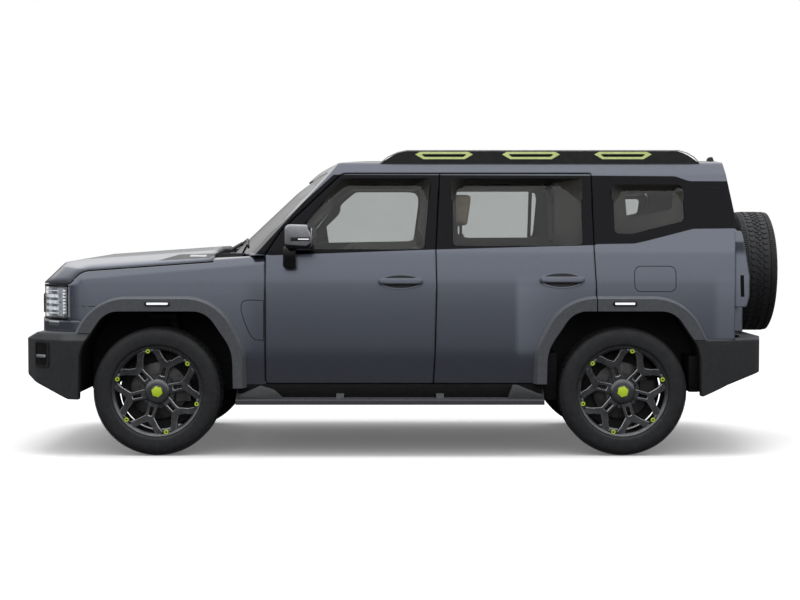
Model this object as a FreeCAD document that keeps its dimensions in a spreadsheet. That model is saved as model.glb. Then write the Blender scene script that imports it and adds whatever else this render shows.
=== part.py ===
import FreeCAD, Part
import math
import os

import Sketcher
from FreeCAD import Placement, Rotation, Vector

# A lifted off-road 4x4: a boxy five-door estate body on four large wheels,
# with a spare wheel on its side-hinged tailgate.
# X runs rearwards, Y to the vehicle's right and Z up.
# The origin is on the ground, midway along the overall length.

# Driving dimensions, in millimetres. Stations are measured rearwards from the front axle.
SIZES = {
    # Whole vehicle
    "overall_length": 4700,
    "front_overhang": 845,
    "wheelbase": 2800,
    "track_width": 1640,
    "tyre_diameter": 772,
    "tyre_width": 235,
    "rim_diameter": 548,
    # Cross-section of the cabin: half widths and heights
    "cabin_bottom_height": 400,
    "sill_half_width": 905,
    "body_half_width": 930,
    "tuck_height": 600,
    "tuck_radius": 200,
    "crease_height": 1000,
    "crease_radius": 260,
    "belt_half_width": 890,
    "belt_height": 1235,
    "belt_radius": 60,
    "belt_ledge": 60,
    "drip_half_width": 705,
    "drip_height": 1698,
    "drip_radius": 20,
    "roof_edge_half_width": 640,
    "roof_edge_height": 1773,
    "roof_edge_radius": 55,
    "crown_half_width": 330,
    "roof_height": 1797,
    "crown_radius": 1500,
    # Walls, gaps and allowances
    "door_depth": 85,
    "frame_depth": 45,
    "roof_depth": 35,
    "seal_gap": 9,
    "ring_depth": 22,
    "ring_width": 52,
    "shut_gap": 7,
    "seat_gap": 0.3,
    "overrun": 60,
    "reach": 1200,
    "sky": 2400,
    # Doors and greenhouse, seen from the side
    "cabin_front_station": 200,
    "roof_flat_station": 1295,
    "roof_bend_station": 1207,
    "roof_bend_height": 1789,
    "roof_nose_station": 1081,
    "roof_nose_height": 1769,
    "roof_tip_station": 960,
    "roof_tip_height": 1722,
    "door_front_station": 655,
    "pillar_foot_height": 1207,
    "pillar_knee_station": 748,
    "pillar_knee_height": 1352,
    "pillar_knee_radius": 160,
    "door_head_station": 1108,
    "door_head_radius": 60,
    "door_bottom_height": 436,
    "door_corner_radius": 22,
    "door_split_foot_station": 1664,
    "door_split_belt_station": 1684,
    "door_split_head_station": 1710,
    "shut_bevel": 23,
    "quarter_station": 2635,
    "pillar_front_drop": 24,
    # Tail
    "tail_station": 3498,
    "tail_knee_height": 1370,
    "tail_lean": 62,
    "tail_flat_half_width": 690,
    "tail_corner_half_width": 870,
    "tail_corner_setback": 20,
    "tail_corner_radius": 60,
    "tail_wall": 80,
    # Windscreen
    "windscreen_foot_height": 1211,
    "windscreen_tip_station": 193,
    "windscreen_half_width": 1000,
    "windscreen_plan_depth": 445,
    "windscreen_radius": 2050,
    "windscreen_run": 487,
    "windscreen_rise": 457,
    "windscreen_thickness": 8,
    # Windows
    "window_radius": 30,
    "window_head_height": 1664,
    "front_window_foot_height": 1242,
    "front_window_nose_station": 760,
    "front_window_head_station": 1113,
    "front_window_rear_head_station": 1645,
    "front_window_rear_foot_station": 1605,
    "rear_window_foot_height": 1262,
    "rear_window_front_station": 1780,
    "rear_window_rear_station": 2561,
    "glass_inset": 10,
    "glass_thickness": 5,
    "quarter_window_front_station": 2756,
    "quarter_window_rear_station": 3180,
    "quarter_window_foot_height": 1335,
    "quarter_window_bend_station": 2861,
    "quarter_window_rear_foot_height": 1412,
    "quarter_window_head_height": 1626,
    # Wheel arches, liners and flares
    "arch_foot_half_width": 472,
    "arch_waist_half_width": 458,
    "arch_waist_height": 640,
    "arch_waist_radius": 250,
    "arch_head_half_width": 300,
    "arch_height": 872,
    "arch_head_radius": 150,
    "flare_lip": 20,
    "flare_half_width": 980,
    "flare_root_half_width": 905,
    "flare_taper": 24,
    "flare_waist_half_width": 542,
    "flare_waist_height": 640,
    "flare_waist_radius": 200,
    "flare_head_half_width": 385,
    "flare_height": 969,
    "flare_head_radius": 330,
    "flare_foot_height": 411,
    "liner_thickness": 5,
    "liner_outer_half_width": 893,
    "liner_inner_half_width": 560,
    "front_liner_half_width": 385,
    "liner_foot_height": 374,
    # Nose
    "nose_slope_run": 1000,
    "nose_slope_rise": 70,
    "nose_bevel_half_width": 950,
    "nose_bevel_height": 1060,
    "nose_shoulder_half_width": 862,
    "nose_shoulder_height": 1154,
    "nose_shoulder_radius": 30,
    "nose_edge_half_width": 560,
    "nose_edge_height": 1212,
    "nose_edge_radius": 600,
    "nose_crown_half_width": 250,
    "nose_crown_height": 1234,
    "nose_crown_radius": 900,
    "nose_tip_setback": 54,
    "nose_front_half_width": 380,
    "nose_front_radius": 900,
    "nose_corner_setback": 135,
    "nose_corner_half_width": 745,
    "nose_corner_radius": 160,
    "nose_flank_setback": 395,
    "nose_flank_half_width": 931,
    "nose_flank_radius": 250,
    "nose_brow_height": 1028,
    "nose_brow_rise": 260,
    "nose_brow_setback": 280,
    "nose_brow_spread": 130,
    "nose_dip_setback": 168,
    "nose_dip_height": 1146,
    "nose_dip_end_setback": 470,
    "nose_dip_end_height": 1206,
    "nose_dip_radius": 500,
    # Hood
    "hood_depth": 32,
    "hood_rear_station": 330,
    "hood_lip_height": 1034,
    "hood_lip_station": -530,
    "hood_lip_radius": 40,
    "hood_line_front_station": -453,
    "hood_line_front_height": 1113,
    "hood_line_radius": 120,
    "hood_line_rear_height": 1169,
    # Front panels
    "fender_wall": 60,
    "cowl_side_half_width": 700,
    "lamp_rear_station": -548,
    "lamp_bottom_height": 812,
    "lamp_inner_half_width": 540,
    "lamp_depth": 110,
    "lamp_recess": 32,
    "grille_band_low": 849,
    "grille_band_high": 962,
    "fascia_rear_station": -455,
    "fascia_bottom_height": 690,
    "grille_depth": 70,
    "grille_row_count": 2,
    "grille_cell_count": 7,
    "grille_rim": 26,
    "grille_bar": 18,
    "grille_cell_radius": 14,
    # Front bumper
    "bumper_wall": 130,
    "bumper_top_height": 742,
    "bumper_brow_setback": 114,
    "bumper_brow_height": 690,
    "bumper_brow_radius": 25,
    "bumper_chin_setback": 8,
    "bumper_chin_height": 474,
    "bumper_chin_radius": 30,
    "bumper_lip_setback": 320,
    "bumper_lip_height": 345,
    "bumper_foot_height": 337,
    "bumper_rear_station": -300,
    "bumper_front_half_width": 620,
    "bumper_front_radius": 260,
    "bumper_corner_setback": 100,
    "bumper_corner_half_width": 830,
    "bumper_corner_radius": 150,
    "bumper_flank_setback": 310,
    "bumper_side_half_width": 972,
    "bumper_flank_radius": 160,
    # Rear bumper
    "tail_bumper_station": 3692,
    "tail_bumper_wall": 120,
    "tail_bumper_top_height": 701,
    "tail_bumper_face_height": 517,
    "tail_bumper_face_lean": 8,
    "tail_bumper_face_radius": 25,
    "tail_bumper_chin_station": 3422,
    "tail_bumper_chin_height": 428,
    "tail_bumper_foot_station": 3276,
    "tail_bumper_foot_height": 362,
    "tail_bumper_front_station": 3050,
    "tail_bumper_rear_half_width": 560,
    "tail_bumper_corner_setback": 60,
    "tail_bumper_corner_half_width": 850,
    "tail_bumper_corner_radius": 90,
    "tail_bumper_flank_setback": 330,
    "tail_bumper_radius": 260,
    # Tailgate and tail lamps
    "tailgate_gap": 10,
    "tailgate_half_width": 682,
    "tailgate_bottom_height": 737,
    "tailgate_waist_height": 1240,
    "tailgate_waist_radius": 60,
    "tailgate_head_half_width": 604,
    "tailgate_head_height": 1694,
    "tailgate_head_radius": 40,
    "tailgate_inner_station": 3410,
    "tailgate_foot_station": 3563,
    "tailgate_fold_height": 893,
    "tailgate_bulge_low_height": 956,
    "tailgate_bulge_high_height": 1077,
    "tailgate_bulge_station": 3581,
    "tailgate_bulge_radius": 18,
    "tailgate_belt_height": 1352,
    "tailgate_belt_station": 3535,
    "tailgate_sill_height": 1376,
    "tailgate_sill_station": 3503,
    "tailgate_head_station": 3451,
    "tailgate_frame_depth": 50,
    "tailgate_window_rim": 70,
    "tailgate_window_foot_height": 1400,
    "tailgate_window_head_height": 1640,
    "tail_lamp_inner_half_width": 697,
    "tail_lamp_outer_half_width": 868,
    "tail_lamp_bottom_height": 893,
    "tail_lamp_top_height": 1352,
    "tail_lamp_radius": 16,
    "tail_lamp_setback": 14,
    "tail_lamp_front_station": 3380,
    # Spare wheel
    "spare_height": 1095,
    "spare_carrier_radius": 95,
    # Rims and tyres
    "tyre_bead_half_width": 106,
    "tyre_wall_radius": 326,
    "tyre_shoulder_radius": 368,
    "tyre_shoulder_half_width": 106,
    "tyre_tread_half_width": 84,
    "rim_lip_half_width": 102,
    "rim_lip_depth": 14,
    "rim_seat_depth": 13,
    "rim_wall": 11,
    "spoke_count": 6,
    "ring_side_count": 48,
    "full_turn": 360,
    "rim_lip_slope": 3,
    "spoke_face_offset": 86,
    "spoke_depth": 36,
    "spoke_root_half_width": 27,
    "spoke_neck_radius": 160,
    "spoke_neck_half_width": 23,
    "spoke_elbow_radius": 203,
    "spoke_elbow_half_width": 63,
    "spoke_shoulder_radius": 231,
    "spoke_spread_half_width": 102,
    "spoke_tip_radius": 247,
    "spoke_gap_half_width": 66,
    "spoke_fork_radius": 214,
    "spoke_fork_half_width": 38,
    "spoke_notch_radius": 186,
    "slot_inner_radius": 94,
    "slot_outer_radius": 150,
    "slot_half_width": 9,
    "hub_radius": 106,
    "hub_face_offset": 46,
    "cap_offset": 86,
    "cap_radius": 79,
    "cap_height": 12,
    "cap_rim": 9,
    "lug_circle_radius": 91,
    "lug_radius": 14,
    "lug_corner_radius": 6,
    "lug_height": 24,
    "disc_radius": 172,
    "disc_thickness": 28,
    "disc_offset": 12,
    "no_turn": 0,
    "wheel_turn_front": 12.5,
    "wheel_turn_rear": -13,
    # Cowl and underbody
    "hood_rear_gap": 12,
    "cowl_height": 1216,
    "cowl_depth": 24,
    "cowl_length": 320,
    "cowl_radius": 10,
    "floor_height": 465,
    "floor_depth": 25,
    "firewall_station": 500,
    "firewall_depth": 15,
    "firewall_half_width": 795,
    "firewall_shoulder_height": 1110,
    "rail_inner_half_width": 300,
    "rail_width": 70,
    "rail_height": 120,
    "beam_depth": 40,
    "beam_half_width": 480,
    "tower_half_length": 85,
    "tower_half_width": 650,
    "tower_height": 840,
    "wheelhouse_half_length": 500,
    "wheelhouse_half_width": 555,
    "tunnel_half_width": 150,
    "tunnel_taper": 45,
    "tunnel_height": 190,
    "tunnel_radius": 40,
    "tunnel_rear_station": 2000,
    # Side steps and roof rails
    "jack_front_station": 660,
    "jack_rear_station": 2105,
    "jack_pad_length": 100,
    "jack_pad_depth": 14,
    "jack_inner_half_width": 716,
    "jack_outer_half_width": 786,
    "step_front_station": 478,
    "step_rear_station": 2324,
    "step_half_width": 985,
    "step_inner_half_width": 830,
    "step_height": 343,
    "step_depth": 30,
    "step_belly": 13,
    "step_wall_half_width": 888,
    "step_wall_height": 396,
    "step_tread_inset": 30,
    "step_radius": 8,
    "bracket_width": 46,
    "bracket_outer_half_width": 885,
    "rail_front_station": 1325,
    "rail_nose_station": 1470,
    "rail_tail_station": 3185,
    "rail_rear_station": 3310,
    "roof_rail_foot_height": 1760,
    "roof_rail_height": 1849,
    "roof_rail_radius": 250,
    "roof_rail_half_width": 645,
    "roof_rail_width": 46,
    # Engine
    "engine_front_station": -330,
    "engine_rear_station": 330,
    "engine_bottom_height": 480,
    "engine_top_height": 1060,
    # Interior
    "dash_bottom_height": 780,
    "dash_knee_depth": 250,
    "dash_depth": 400,
    "dash_face_height": 960,
    "dash_brow_height": 1130,
    "dash_top_height": 1180,
    "dash_radius": 50,
    "dash_half_width": 695,
    "column_tilt": 65,
    "steering_station": 1010,
    "steering_height": 1040,
    "steering_radius": 182,
    "steering_rim_radius": 15,
    "steering_hub_radius": 42,
    "steering_hub_depth": 30,
    "steering_shaft_radius": 11,
    "steering_shaft_length": 40,
    "steering_column_length": 200,
    "moving_gap": 5,
    "seat_half_spacing": 395,
    "seat_half_width": 240,
    "seat_front_station": 1130,
    "cushion_nose": 25,
    "cushion_height": 740,
    "cushion_length": 470,
    "cushion_sag": 30,
    "cushion_radius": 50,
    "back_lean": 185,
    "back_height": 1395,
    "back_depth": 110,
    "head_rest_inset": 5,
    "head_rest_height": 185,
    "head_rest_depth": 100,
    "head_rest_radius": 36,
    "head_rest_half_width": 135,
    "bench_front_station": 1990,
    "bench_back_station": 2400,
    "bench_lean": 140,
    "bench_depth": 105,
    "bench_back_height": 1285,
    "bench_rest_height": 125,
    "bench_rest_depth": 66,
    "bench_half_width": 545,
    # Spare wheel carrier
    "carrier_plate_depth": 14,
    "carrier_plate_half_width": 150,
    # Suspension and knuckles
    "kingpin_half_width": 760,
    "lower_arm_height": 272,
    "upper_arm_height": 520,
    "rear_upper_arm_height": 408,
    "arm_depth": 30,
    "arm_root_half_width": 140,
    "arm_tip_half_width": 34,
    "arm_tip_radius": 24,
    "upper_arm_half_width": 22,
    "post_width": 30,
    "spring_radius": 36,
    "spring_offset": 70,
    "front_spring_half_width": 590,
    "rear_spring_half_width": 480,
    "half_shaft_radius": 14,
    "half_shaft_gap": 26,
    "crossmember_half_width": 400,
    "crossmember_half_length": 150,
    "crossmember_height": 340,
    "differential_radius": 50,
    "differential_half_width": 110,
    "knuckle_inner_half_width": 735,
    "bearing_radius": 55,
    "upright_half_width": 26,
    "upright_waist_half_width": 48,
    "upright_outer_half_width": 788,
    "caliper_offset": 108,
    "caliper_length": 88,
    "caliper_half_height": 62,
    "caliper_wall": 22,
    "disc_gap": 5,
    "ear_depth": 24,
    "ear_half_height": 26,
    # Fuel tank and exhaust
    "tank_outer_half_width": 700,
    "tank_depth": 150,
    "tank_radius": 40,
    "tank_front_station": 1500,
    "tank_rear_station": 2200,
    "pipe_radius": 26,
    "pipe_half_width": 380,
    "muffler_radius": 85,
    "muffler_front_station": 1500,
    "muffler_length": 520,
    "outlet_half_width": 780,
    # Door mirrors
    "mirror_front_station": 785,
    "mirror_rear_station": 938,
    "mirror_crown_station": 906,
    "mirror_bottom_height": 1244,
    "mirror_shoulder_height": 1325,
    "mirror_top_height": 1394,
    "mirror_brow_height": 1362,
    "mirror_rake": 12,
    "mirror_radius": 22,
    "mirror_outer_half_width": 1105,
    "mirror_inner_half_width": 955,
    "mirror_foot_front_station": 762,
    "mirror_foot_rear_station": 843,
    "mirror_foot_height": 1128,
    "mirror_foot_width": 34,
    "quarter_turn": 90,
    # Hinge leaves
    "hinge_low_height": 600,
    "hinge_high_height": 980,
    "hinge_height": 60,
    "hinge_width": 30,
    "hinge_setback": 12,
    "hood_hinge_half_width": 560,
    "tail_hinge_depth": 60,
    "tail_hinge_setback": 22,
    "tail_hinge_low_height": 780,
    "tail_hinge_high_height": 980,
}


class Size:
    """A length: its value in millimetres, and the expression over the sheet's cells that gives it."""

    def __init__(self, value, text):
        self.value = value
        self.text = text

    def joined(self, sign, value, first, second):
        return Size(value, f"({first} {sign} {second})")

    def __add__(self, other):
        return self.joined("+", self.value + value_of(other), self.text, text_of(other))

    def __radd__(self, other):
        return self.joined("+", value_of(other) + self.value, text_of(other), self.text)

    def __sub__(self, other):
        return self.joined("-", self.value - value_of(other), self.text, text_of(other))

    def __rsub__(self, other):
        return self.joined("-", value_of(other) - self.value, text_of(other), self.text)

    def __mul__(self, other):
        return self.joined("*", self.value * value_of(other), self.text, text_of(other))

    def __rmul__(self, other):
        return self.joined("*", value_of(other) * self.value, text_of(other), self.text)

    def __truediv__(self, other):
        return self.joined("/", self.value / value_of(other), self.text, text_of(other))

    def __neg__(self):
        return self.joined("-", -self.value, "0", self.text)


def value_of(quantity):
    return quantity.value if isinstance(quantity, Size) else float(quantity)


def text_of(quantity):
    return quantity.text if isinstance(quantity, Size) else repr(float(quantity))


class Sheet:
    """The spreadsheet's cells, each read as an attribute that gives a Size."""

    def __init__(self, document, sizes):
        self._sizes = dict(sizes)
        cells = document.addObject("Spreadsheet::Sheet", "Sizes")
        for row, (alias, value) in enumerate(sizes.items(), start=1):
            cells.set(f"A{row}", alias)
            cells.set(f"B{row}", str(value))
            cells.setAlias(f"B{row}", alias)

    def __getattr__(self, alias):
        return Size(float(self._sizes[alias]), f"Sizes.{alias}")


doc = FreeCAD.newDocument("OffRoader")
s = Sheet(doc, SIZES)
doc.recompute()

NODES = {}
AXES = {"x": Vector(1, 0, 0), "y": Vector(0, 1, 0), "z": Vector(0, 0, 1)}
# Each drawing plane: how it is turned, and the axis that stands on it
PLANES = {
    "side": (Rotation(Vector(1, 0, 0), 90), "y"),
    "plan": (Rotation(), "z"),
    "section": (Rotation(Vector(1, 1, 1), 120), "x"),
}


def bind(item, **quantities):
    """Binds properties of an object to the sheet; a double underscore in a name stands for a dot."""
    for name, quantity in quantities.items():
        item.setExpression(name.replace("__", "."), text_of(quantity))
    return item


def rounded_geometry(points, radii):
    """Lines and corner arcs of a closed outline, and which end of each arc meets the line before it."""
    count = len(points)
    arrive, leave, arcs, ends = [], [], [], []
    for i, corner in enumerate(points):
        before = (points[i - 1] - corner).normalize()
        after = (points[(i + 1) % count] - corner).normalize()
        half = before.getAngle(after) / 2
        tangent = radii[i] / math.tan(half) if radii[i] else 0.0
        arrive.append(corner + before * tangent)
        leave.append(corner + after * tangent)
        if not radii[i]:
            arcs.append(None)
            ends.append(None)
            continue
        centre = corner + (before + after).normalize() * (radii[i] / math.sin(half))
        start = math.atan2(arrive[i].y - centre.y, arrive[i].x - centre.x)
        finish = math.atan2(leave[i].y - centre.y, leave[i].x - centre.x)
        turns_left = (finish - start) % (2 * math.pi) < math.pi
        if not turns_left:
            start, finish = finish, start
        arcs.append(Part.ArcOfCircle(Part.Circle(centre, Vector(0, 0, 1), radii[i]), start, finish))
        ends.append((1, 2) if turns_left else (2, 1))
    lines = [Part.LineSegment(leave[i], arrive[(i + 1) % count]) for i in range(count)]
    return lines, arcs, ends


def draw(sketch, corners):
    """Draws a closed outline of (across, up) or (across, up, radius) corners, each bound to the sheet."""
    corners = [tuple(corner) + (0,) * (3 - len(corner)) for corner in corners]
    points = [Vector(value_of(c[0]), value_of(c[1]), 0) for c in corners]
    lines, arcs, ends = rounded_geometry(points, [value_of(c[2]) for c in corners])
    base = sketch.GeometryCount
    first = sketch.ConstraintCount
    sketch.addGeometry(lines, False)
    rules, bound = [], []

    def rule(*words, size=None):
        if size is None:
            rules.append(Sketcher.Constraint(*words))
            return
        bound.append((first + len(rules), text_of(size)))
        rules.append(Sketcher.Constraint(*words, value_of(size)))

    count = len(corners)
    for i, (across, up, radius) in enumerate(corners):
        before, after = base + (i - 1) % count, base + i
        if arcs[i] is None:
            rule("Coincident", before, 2, after, 1)
            rule("DistanceX", after, 1, size=across)
            rule("DistanceY", after, 1, size=up)
            continue
        arc = sketch.addGeometry(arcs[i], False)
        corner = sketch.addGeometry(Part.Point(points[i]), True)
        rule("Tangent", before, 2, arc, ends[i][0])
        rule("Tangent", after, 1, arc, ends[i][1])
        rule("PointOnObject", corner, 1, before)
        rule("PointOnObject", corner, 1, after)
        rule("Radius", arc, size=radius)
        rule("DistanceX", corner, 1, size=across)
        rule("DistanceY", corner, 1, size=up)
    sketch.addConstraint(rules)
    for index, text in bound:
        sketch.setExpression(f"Constraints[{index}]", text)
    return sketch


def outline(name, plane, corners, at=None):
    """A sketch of one closed outline: side (X, Z), plan (X, Y) or section (Y, Z)."""
    sketch = doc.addObject("Sketcher::SketchObject", f"{name}_outline")
    turn, axis = PLANES[plane]
    sketch.Placement = Placement(Vector(0, 0, 0), turn)
    if at is not None:
        bind(sketch, **{f"Placement__Base__{axis}": at})
    return draw(sketch, corners)


def extrude(name, profile, plane, low, high):
    """The profile swept square to its plane, from one height over it to another."""
    solid = doc.addObject("Part::Extrusion", name)
    solid.Base = profile
    solid.DirMode = "Custom"
    solid.Dir = AXES[PLANES[plane][1]]
    solid.Solid = True
    return bind(solid, LengthFwd=high, LengthRev=-low)


def sweep(name, profile, run, low, high):
    """The profile swept along a slanted run (x, y, z), by lengths along that run."""
    solid = doc.addObject("Part::Extrusion", name)
    solid.Base = profile
    solid.DirMode = "Custom"
    solid.Dir = Vector(*(value_of(part) for part in run))
    solid.Solid = True
    return bind(solid, Dir__x=run[0], Dir__y=run[1], Dir__z=run[2], LengthFwd=high, LengthRev=-low)


def prism(name, plane, corners, low, high):
    return extrude(name, outline(name, plane, corners), plane, low, high)


def loft(name, *profiles):
    solid = doc.addObject("Part::Loft", name)
    solid.Sections = list(profiles)
    solid.Solid = True
    solid.Ruled = True
    return solid


def grown(name, profile, by):
    """A copy of a flat outline, pushed out all round."""
    copy = doc.addObject("Part::Offset2D", name)
    copy.Source = profile
    copy.Mode = "Pipe"
    copy.Join = "Intersection"
    return bind(copy, Value=by)


def block(name, x, y, z):
    """A box from its lowest and highest X, Y and Z."""
    box = doc.addObject("Part::Box", name)
    bind(box, Length=x[1] - x[0], Width=y[1] - y[0], Height=z[1] - z[0])
    return bind(box, Placement__Base__x=x[0], Placement__Base__y=y[0], Placement__Base__z=z[0])


def rod(name, radius, axis, start, length):
    """A round bar from a start point along an axis."""
    bar = doc.addObject("Part::Cylinder", name)
    turn = {"x": Rotation(Vector(0, 1, 0), 90), "y": Rotation(Vector(1, 0, 0), -90), "z": Rotation()}
    bar.Placement = Placement(Vector(0, 0, 0), turn[axis])
    bind(bar, Radius=radius, Height=length)
    return bind(bar, Placement__Base__x=start[0], Placement__Base__y=start[1], Placement__Base__z=start[2])


def common(name, first, *others):
    for other in others:
        both = doc.addObject("Part::Common", name)
        both.Base, both.Tool = first, other
        first = both
    return first


def fuse(name, *items):
    union = doc.addObject("Part::MultiFuse", name)
    union.Shapes = list(items)
    union.Refine = True
    return union


def cut(name, first, *others):
    for other in others:
        rest = doc.addObject("Part::Cut", name)
        rest.Base, rest.Tool = first, other
        first = rest
    return first


def mirrored(name, item):
    """The same piece on the vehicle's other side."""
    twin = doc.addObject("Part::Mirroring", name)
    twin.Source = item
    twin.Normal = Vector(0, 1, 0)
    return twin


def group(name, *items):
    """Separate solids that share a node."""
    bunch = doc.addObject("Part::Compound", name)
    bunch.Links = list(items)
    return bunch


def node(label, item):
    """Names a finished piece; a construction step that had the same name takes another."""
    for step in doc.getObjectsByLabel(label):
        if step is not item:
            step.Label = f"{label}_step"
    item.Label = label
    NODES[label] = item
    return item


def both_sides(label, left):
    node(f"{label}_left", left)
    node(f"{label}_right", mirrored(f"{label}_right", left))


front = -s.overall_length / 2
rear = s.overall_length / 2
front_axle = front + s.front_overhang
rear_axle = front_axle + s.wheelbase
axle_height = s.tyre_diameter / 2
centre_half_track = s.track_width / 2


def behind(station):
    """The X of a station behind the front axle."""
    return front_axle + station


def inside_front(setback):
    """The X of a setback behind the foremost point."""
    return front + setback


def two_sided(half):
    """A full cross-section's corners, from those of its right half, bottom to top."""
    return half + [(-corner[0],) + tuple(corner[1:]) for corner in reversed(half)]


def plan_sides(half):
    """A full plan's corners, from those of its left half, front to rear, with half widths."""
    left = [(c[0], -c[1]) + tuple(c[2:]) for c in half]
    return left + [tuple(c) for c in reversed(half)]


# Cabin: nested cross-sections give the outer skin, the doors' inner face and the door rings

cabin_front = behind(s.cabin_front_station)
tail = behind(s.tail_station)


def cabin_section(name, low, high, top, front_x, rear_x):
    """The cabin's cross-section, pushed in by one depth below the belt, one above it and one at the roof."""
    bottom = s.cabin_bottom_height if low is None else s.cabin_bottom_height - s.overrun
    if low is None:
        half = [
            (s.sill_half_width, bottom),
            (s.body_half_width, s.tuck_height, s.tuck_radius),
            (s.body_half_width, s.crease_height, s.crease_radius),
            (s.belt_half_width, s.belt_height, s.belt_radius),
            (s.drip_half_width, s.drip_height, s.drip_radius),
            (s.roof_edge_half_width, s.roof_edge_height, s.roof_edge_radius),
            (s.crown_half_width, s.roof_height, s.crown_radius),
        ]
    else:
        half = [
            (s.sill_half_width - low, bottom),
            (s.body_half_width - low, s.tuck_height),
            (s.body_half_width - low, s.crease_height, s.crease_radius),
            (s.belt_half_width - low, s.belt_height - s.belt_ledge),
            (s.belt_half_width - high, s.belt_height),
            (s.drip_half_width - high, s.drip_height),
            (s.roof_edge_half_width - high, s.roof_edge_height - top),
            (s.crown_half_width, s.roof_height - top),
        ]
    return prism(name, "section", two_sided(half), front_x, rear_x)


door_inner = (s.door_depth, s.frame_depth, s.roof_depth)
ring_outer = tuple(depth + s.seal_gap for depth in door_inner[:2]) + (s.roof_depth,)
ring_inner = tuple(depth + s.ring_depth for depth in ring_outer[:2]) + (s.roof_depth,)

cabin_skin = cabin_section("cabin_skin", None, None, None, cabin_front, tail + s.overrun)
door_cavity = cabin_section("door_cavity", *door_inner, cabin_front - s.overrun, tail + s.overrun)
ring_cavity = cabin_section("ring_cavity", *ring_outer, cabin_front - s.overrun, tail + s.overrun)


def under_roof(name, tail_corners, drop):
    """The cabin's side view, whose roof curves down to the windscreen, or that view lowered."""
    return prism(name, "side", [(cabin_front - s.overrun, 0)] + tail_corners + [
        (behind(s.roof_flat_station), s.roof_height + s.overrun),
        (behind(s.roof_flat_station), s.roof_height - drop),
        (behind(s.roof_bend_station), s.roof_bend_height - drop),
        (behind(s.roof_nose_station), s.roof_nose_height - drop),
        (behind(s.roof_tip_station), s.roof_tip_height - drop),
        (cabin_front - s.overrun, s.windscreen_foot_height - drop),
    ], -s.reach, s.reach)


cabin_profile = under_roof("cabin_profile", [
    (tail, 0),
    (tail, s.tail_knee_height),
    (tail - s.tail_lean, s.roof_height),
    (tail - s.tail_lean, s.roof_height + s.overrun),
], 0)
inner_tail = [(tail + s.overrun, 0), (tail + s.overrun, s.roof_height + s.overrun)]
cabin_cavity = common("cabin_cavity",
                      cabin_section("cavity_form", *ring_inner, cabin_front - s.overrun, tail - s.tail_wall),
                      under_roof("cavity_profile", inner_tail, s.roof_depth))
cabin_plan = prism("cabin_plan", "plan", plan_sides([
    (cabin_front - s.overrun, s.reach),
    (tail - s.tail_corner_setback - s.nose_tip_setback, s.reach),
    (tail - s.tail_corner_setback, s.tail_corner_half_width, s.tail_corner_radius),
    (tail, s.tail_flat_half_width),
]), 0, s.sky)

# The windscreen's outer surface: an arc in plan, swept up along the rake
rake = (s.windscreen_run, 0, s.windscreen_rise)


def behind_windscreen(name, setback):
    """Everything behind the windscreen's surface, or behind that surface moved rearwards."""
    tip = behind(s.windscreen_tip_station) + setback
    edge = tip + s.windscreen_plan_depth
    sketch = outline(name, "plan", [
        (tip, 0, s.windscreen_radius),
        (edge, s.windscreen_half_width),
        (tail + s.reach, s.windscreen_half_width),
        (tail + s.reach, -s.windscreen_half_width),
        (edge, -s.windscreen_half_width),
    ], at=s.windscreen_foot_height)
    return sweep(name, sketch, rake, -s.reach, s.reach)


screen_front = behind_windscreen("screen_front", 0)
screen_back = behind_windscreen("screen_back", s.windscreen_thickness)

# The shut faces between the doors lean forwards as they go in, so that each door swings clear


def behind_shut_face(name, foot, belt, head, gap):
    """Everything behind a door's rear shut face, on the left side, moved rearwards by a gap."""
    lean = s.shut_bevel / s.door_depth
    outer = belt + gap
    across = s.reach
    sketch = outline(name, "plan", [
        (outer + lean * (across - s.body_half_width), -across),
        (outer - lean * s.body_half_width, 0),
        (tail + s.reach, 0),
        (tail + s.reach, -across),
    ], at=s.belt_height)
    lower = sweep(f"{name}_lower", sketch, (belt - foot, 0, s.belt_height - s.door_bottom_height),
                  -s.reach, 0)
    upper = sweep(f"{name}_upper", sketch, (head - belt, s.belt_half_width - s.drip_half_width,
                                            s.drip_height - s.belt_height), 0, s.reach)
    return fuse(name, lower, upper)


split_foot = behind(s.door_split_foot_station)
split_belt = behind(s.door_split_belt_station)
split_head = behind(s.door_split_head_station)
quarter = behind(s.quarter_station)
behind_front_door = behind_shut_face("behind_front_door", split_foot, split_belt, split_head, 0)
rear_door_zone = behind_shut_face("rear_door_zone", split_foot, split_belt, split_head, s.shut_gap)
behind_rear_door = behind_shut_face("behind_rear_door", quarter, quarter, quarter, 0)
quarter_zone = behind_shut_face("quarter_zone", quarter, quarter, quarter, s.shut_gap)

door_front = behind(s.door_front_station)
front_door_shape = [
    (door_front, s.door_bottom_height, s.door_corner_radius),
    (quarter, s.door_bottom_height),
    (quarter, s.drip_height),
    (behind(s.door_head_station), s.drip_height, s.door_head_radius),
    (behind(s.pillar_knee_station), s.pillar_knee_height, s.pillar_knee_radius),
    (door_front, s.pillar_foot_height, s.door_corner_radius),
]
rear_door_shape = [
    (split_foot - s.overrun, s.door_bottom_height),
    (quarter + s.overrun, s.door_bottom_height),
    (quarter + s.overrun, s.drip_height),
    (split_foot - s.overrun, s.drip_height),
]
both_doors_shape = front_door_shape[:1] + [
    (quarter, s.door_bottom_height),
    (quarter, s.drip_height, s.door_corner_radius),
] + front_door_shape[3:]


# Wheel arches, as seen from the side


def arch_corners(axle):
    right = [
        (s.arch_foot_half_width, 0),
        (s.arch_waist_half_width, s.arch_waist_height, s.arch_waist_radius),
        (s.arch_head_half_width, s.arch_height, s.arch_head_radius),
    ]
    return [(axle + c[0],) + c[1:] for c in right] + [(axle - c[0],) + c[1:] for c in reversed(right)]


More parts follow.
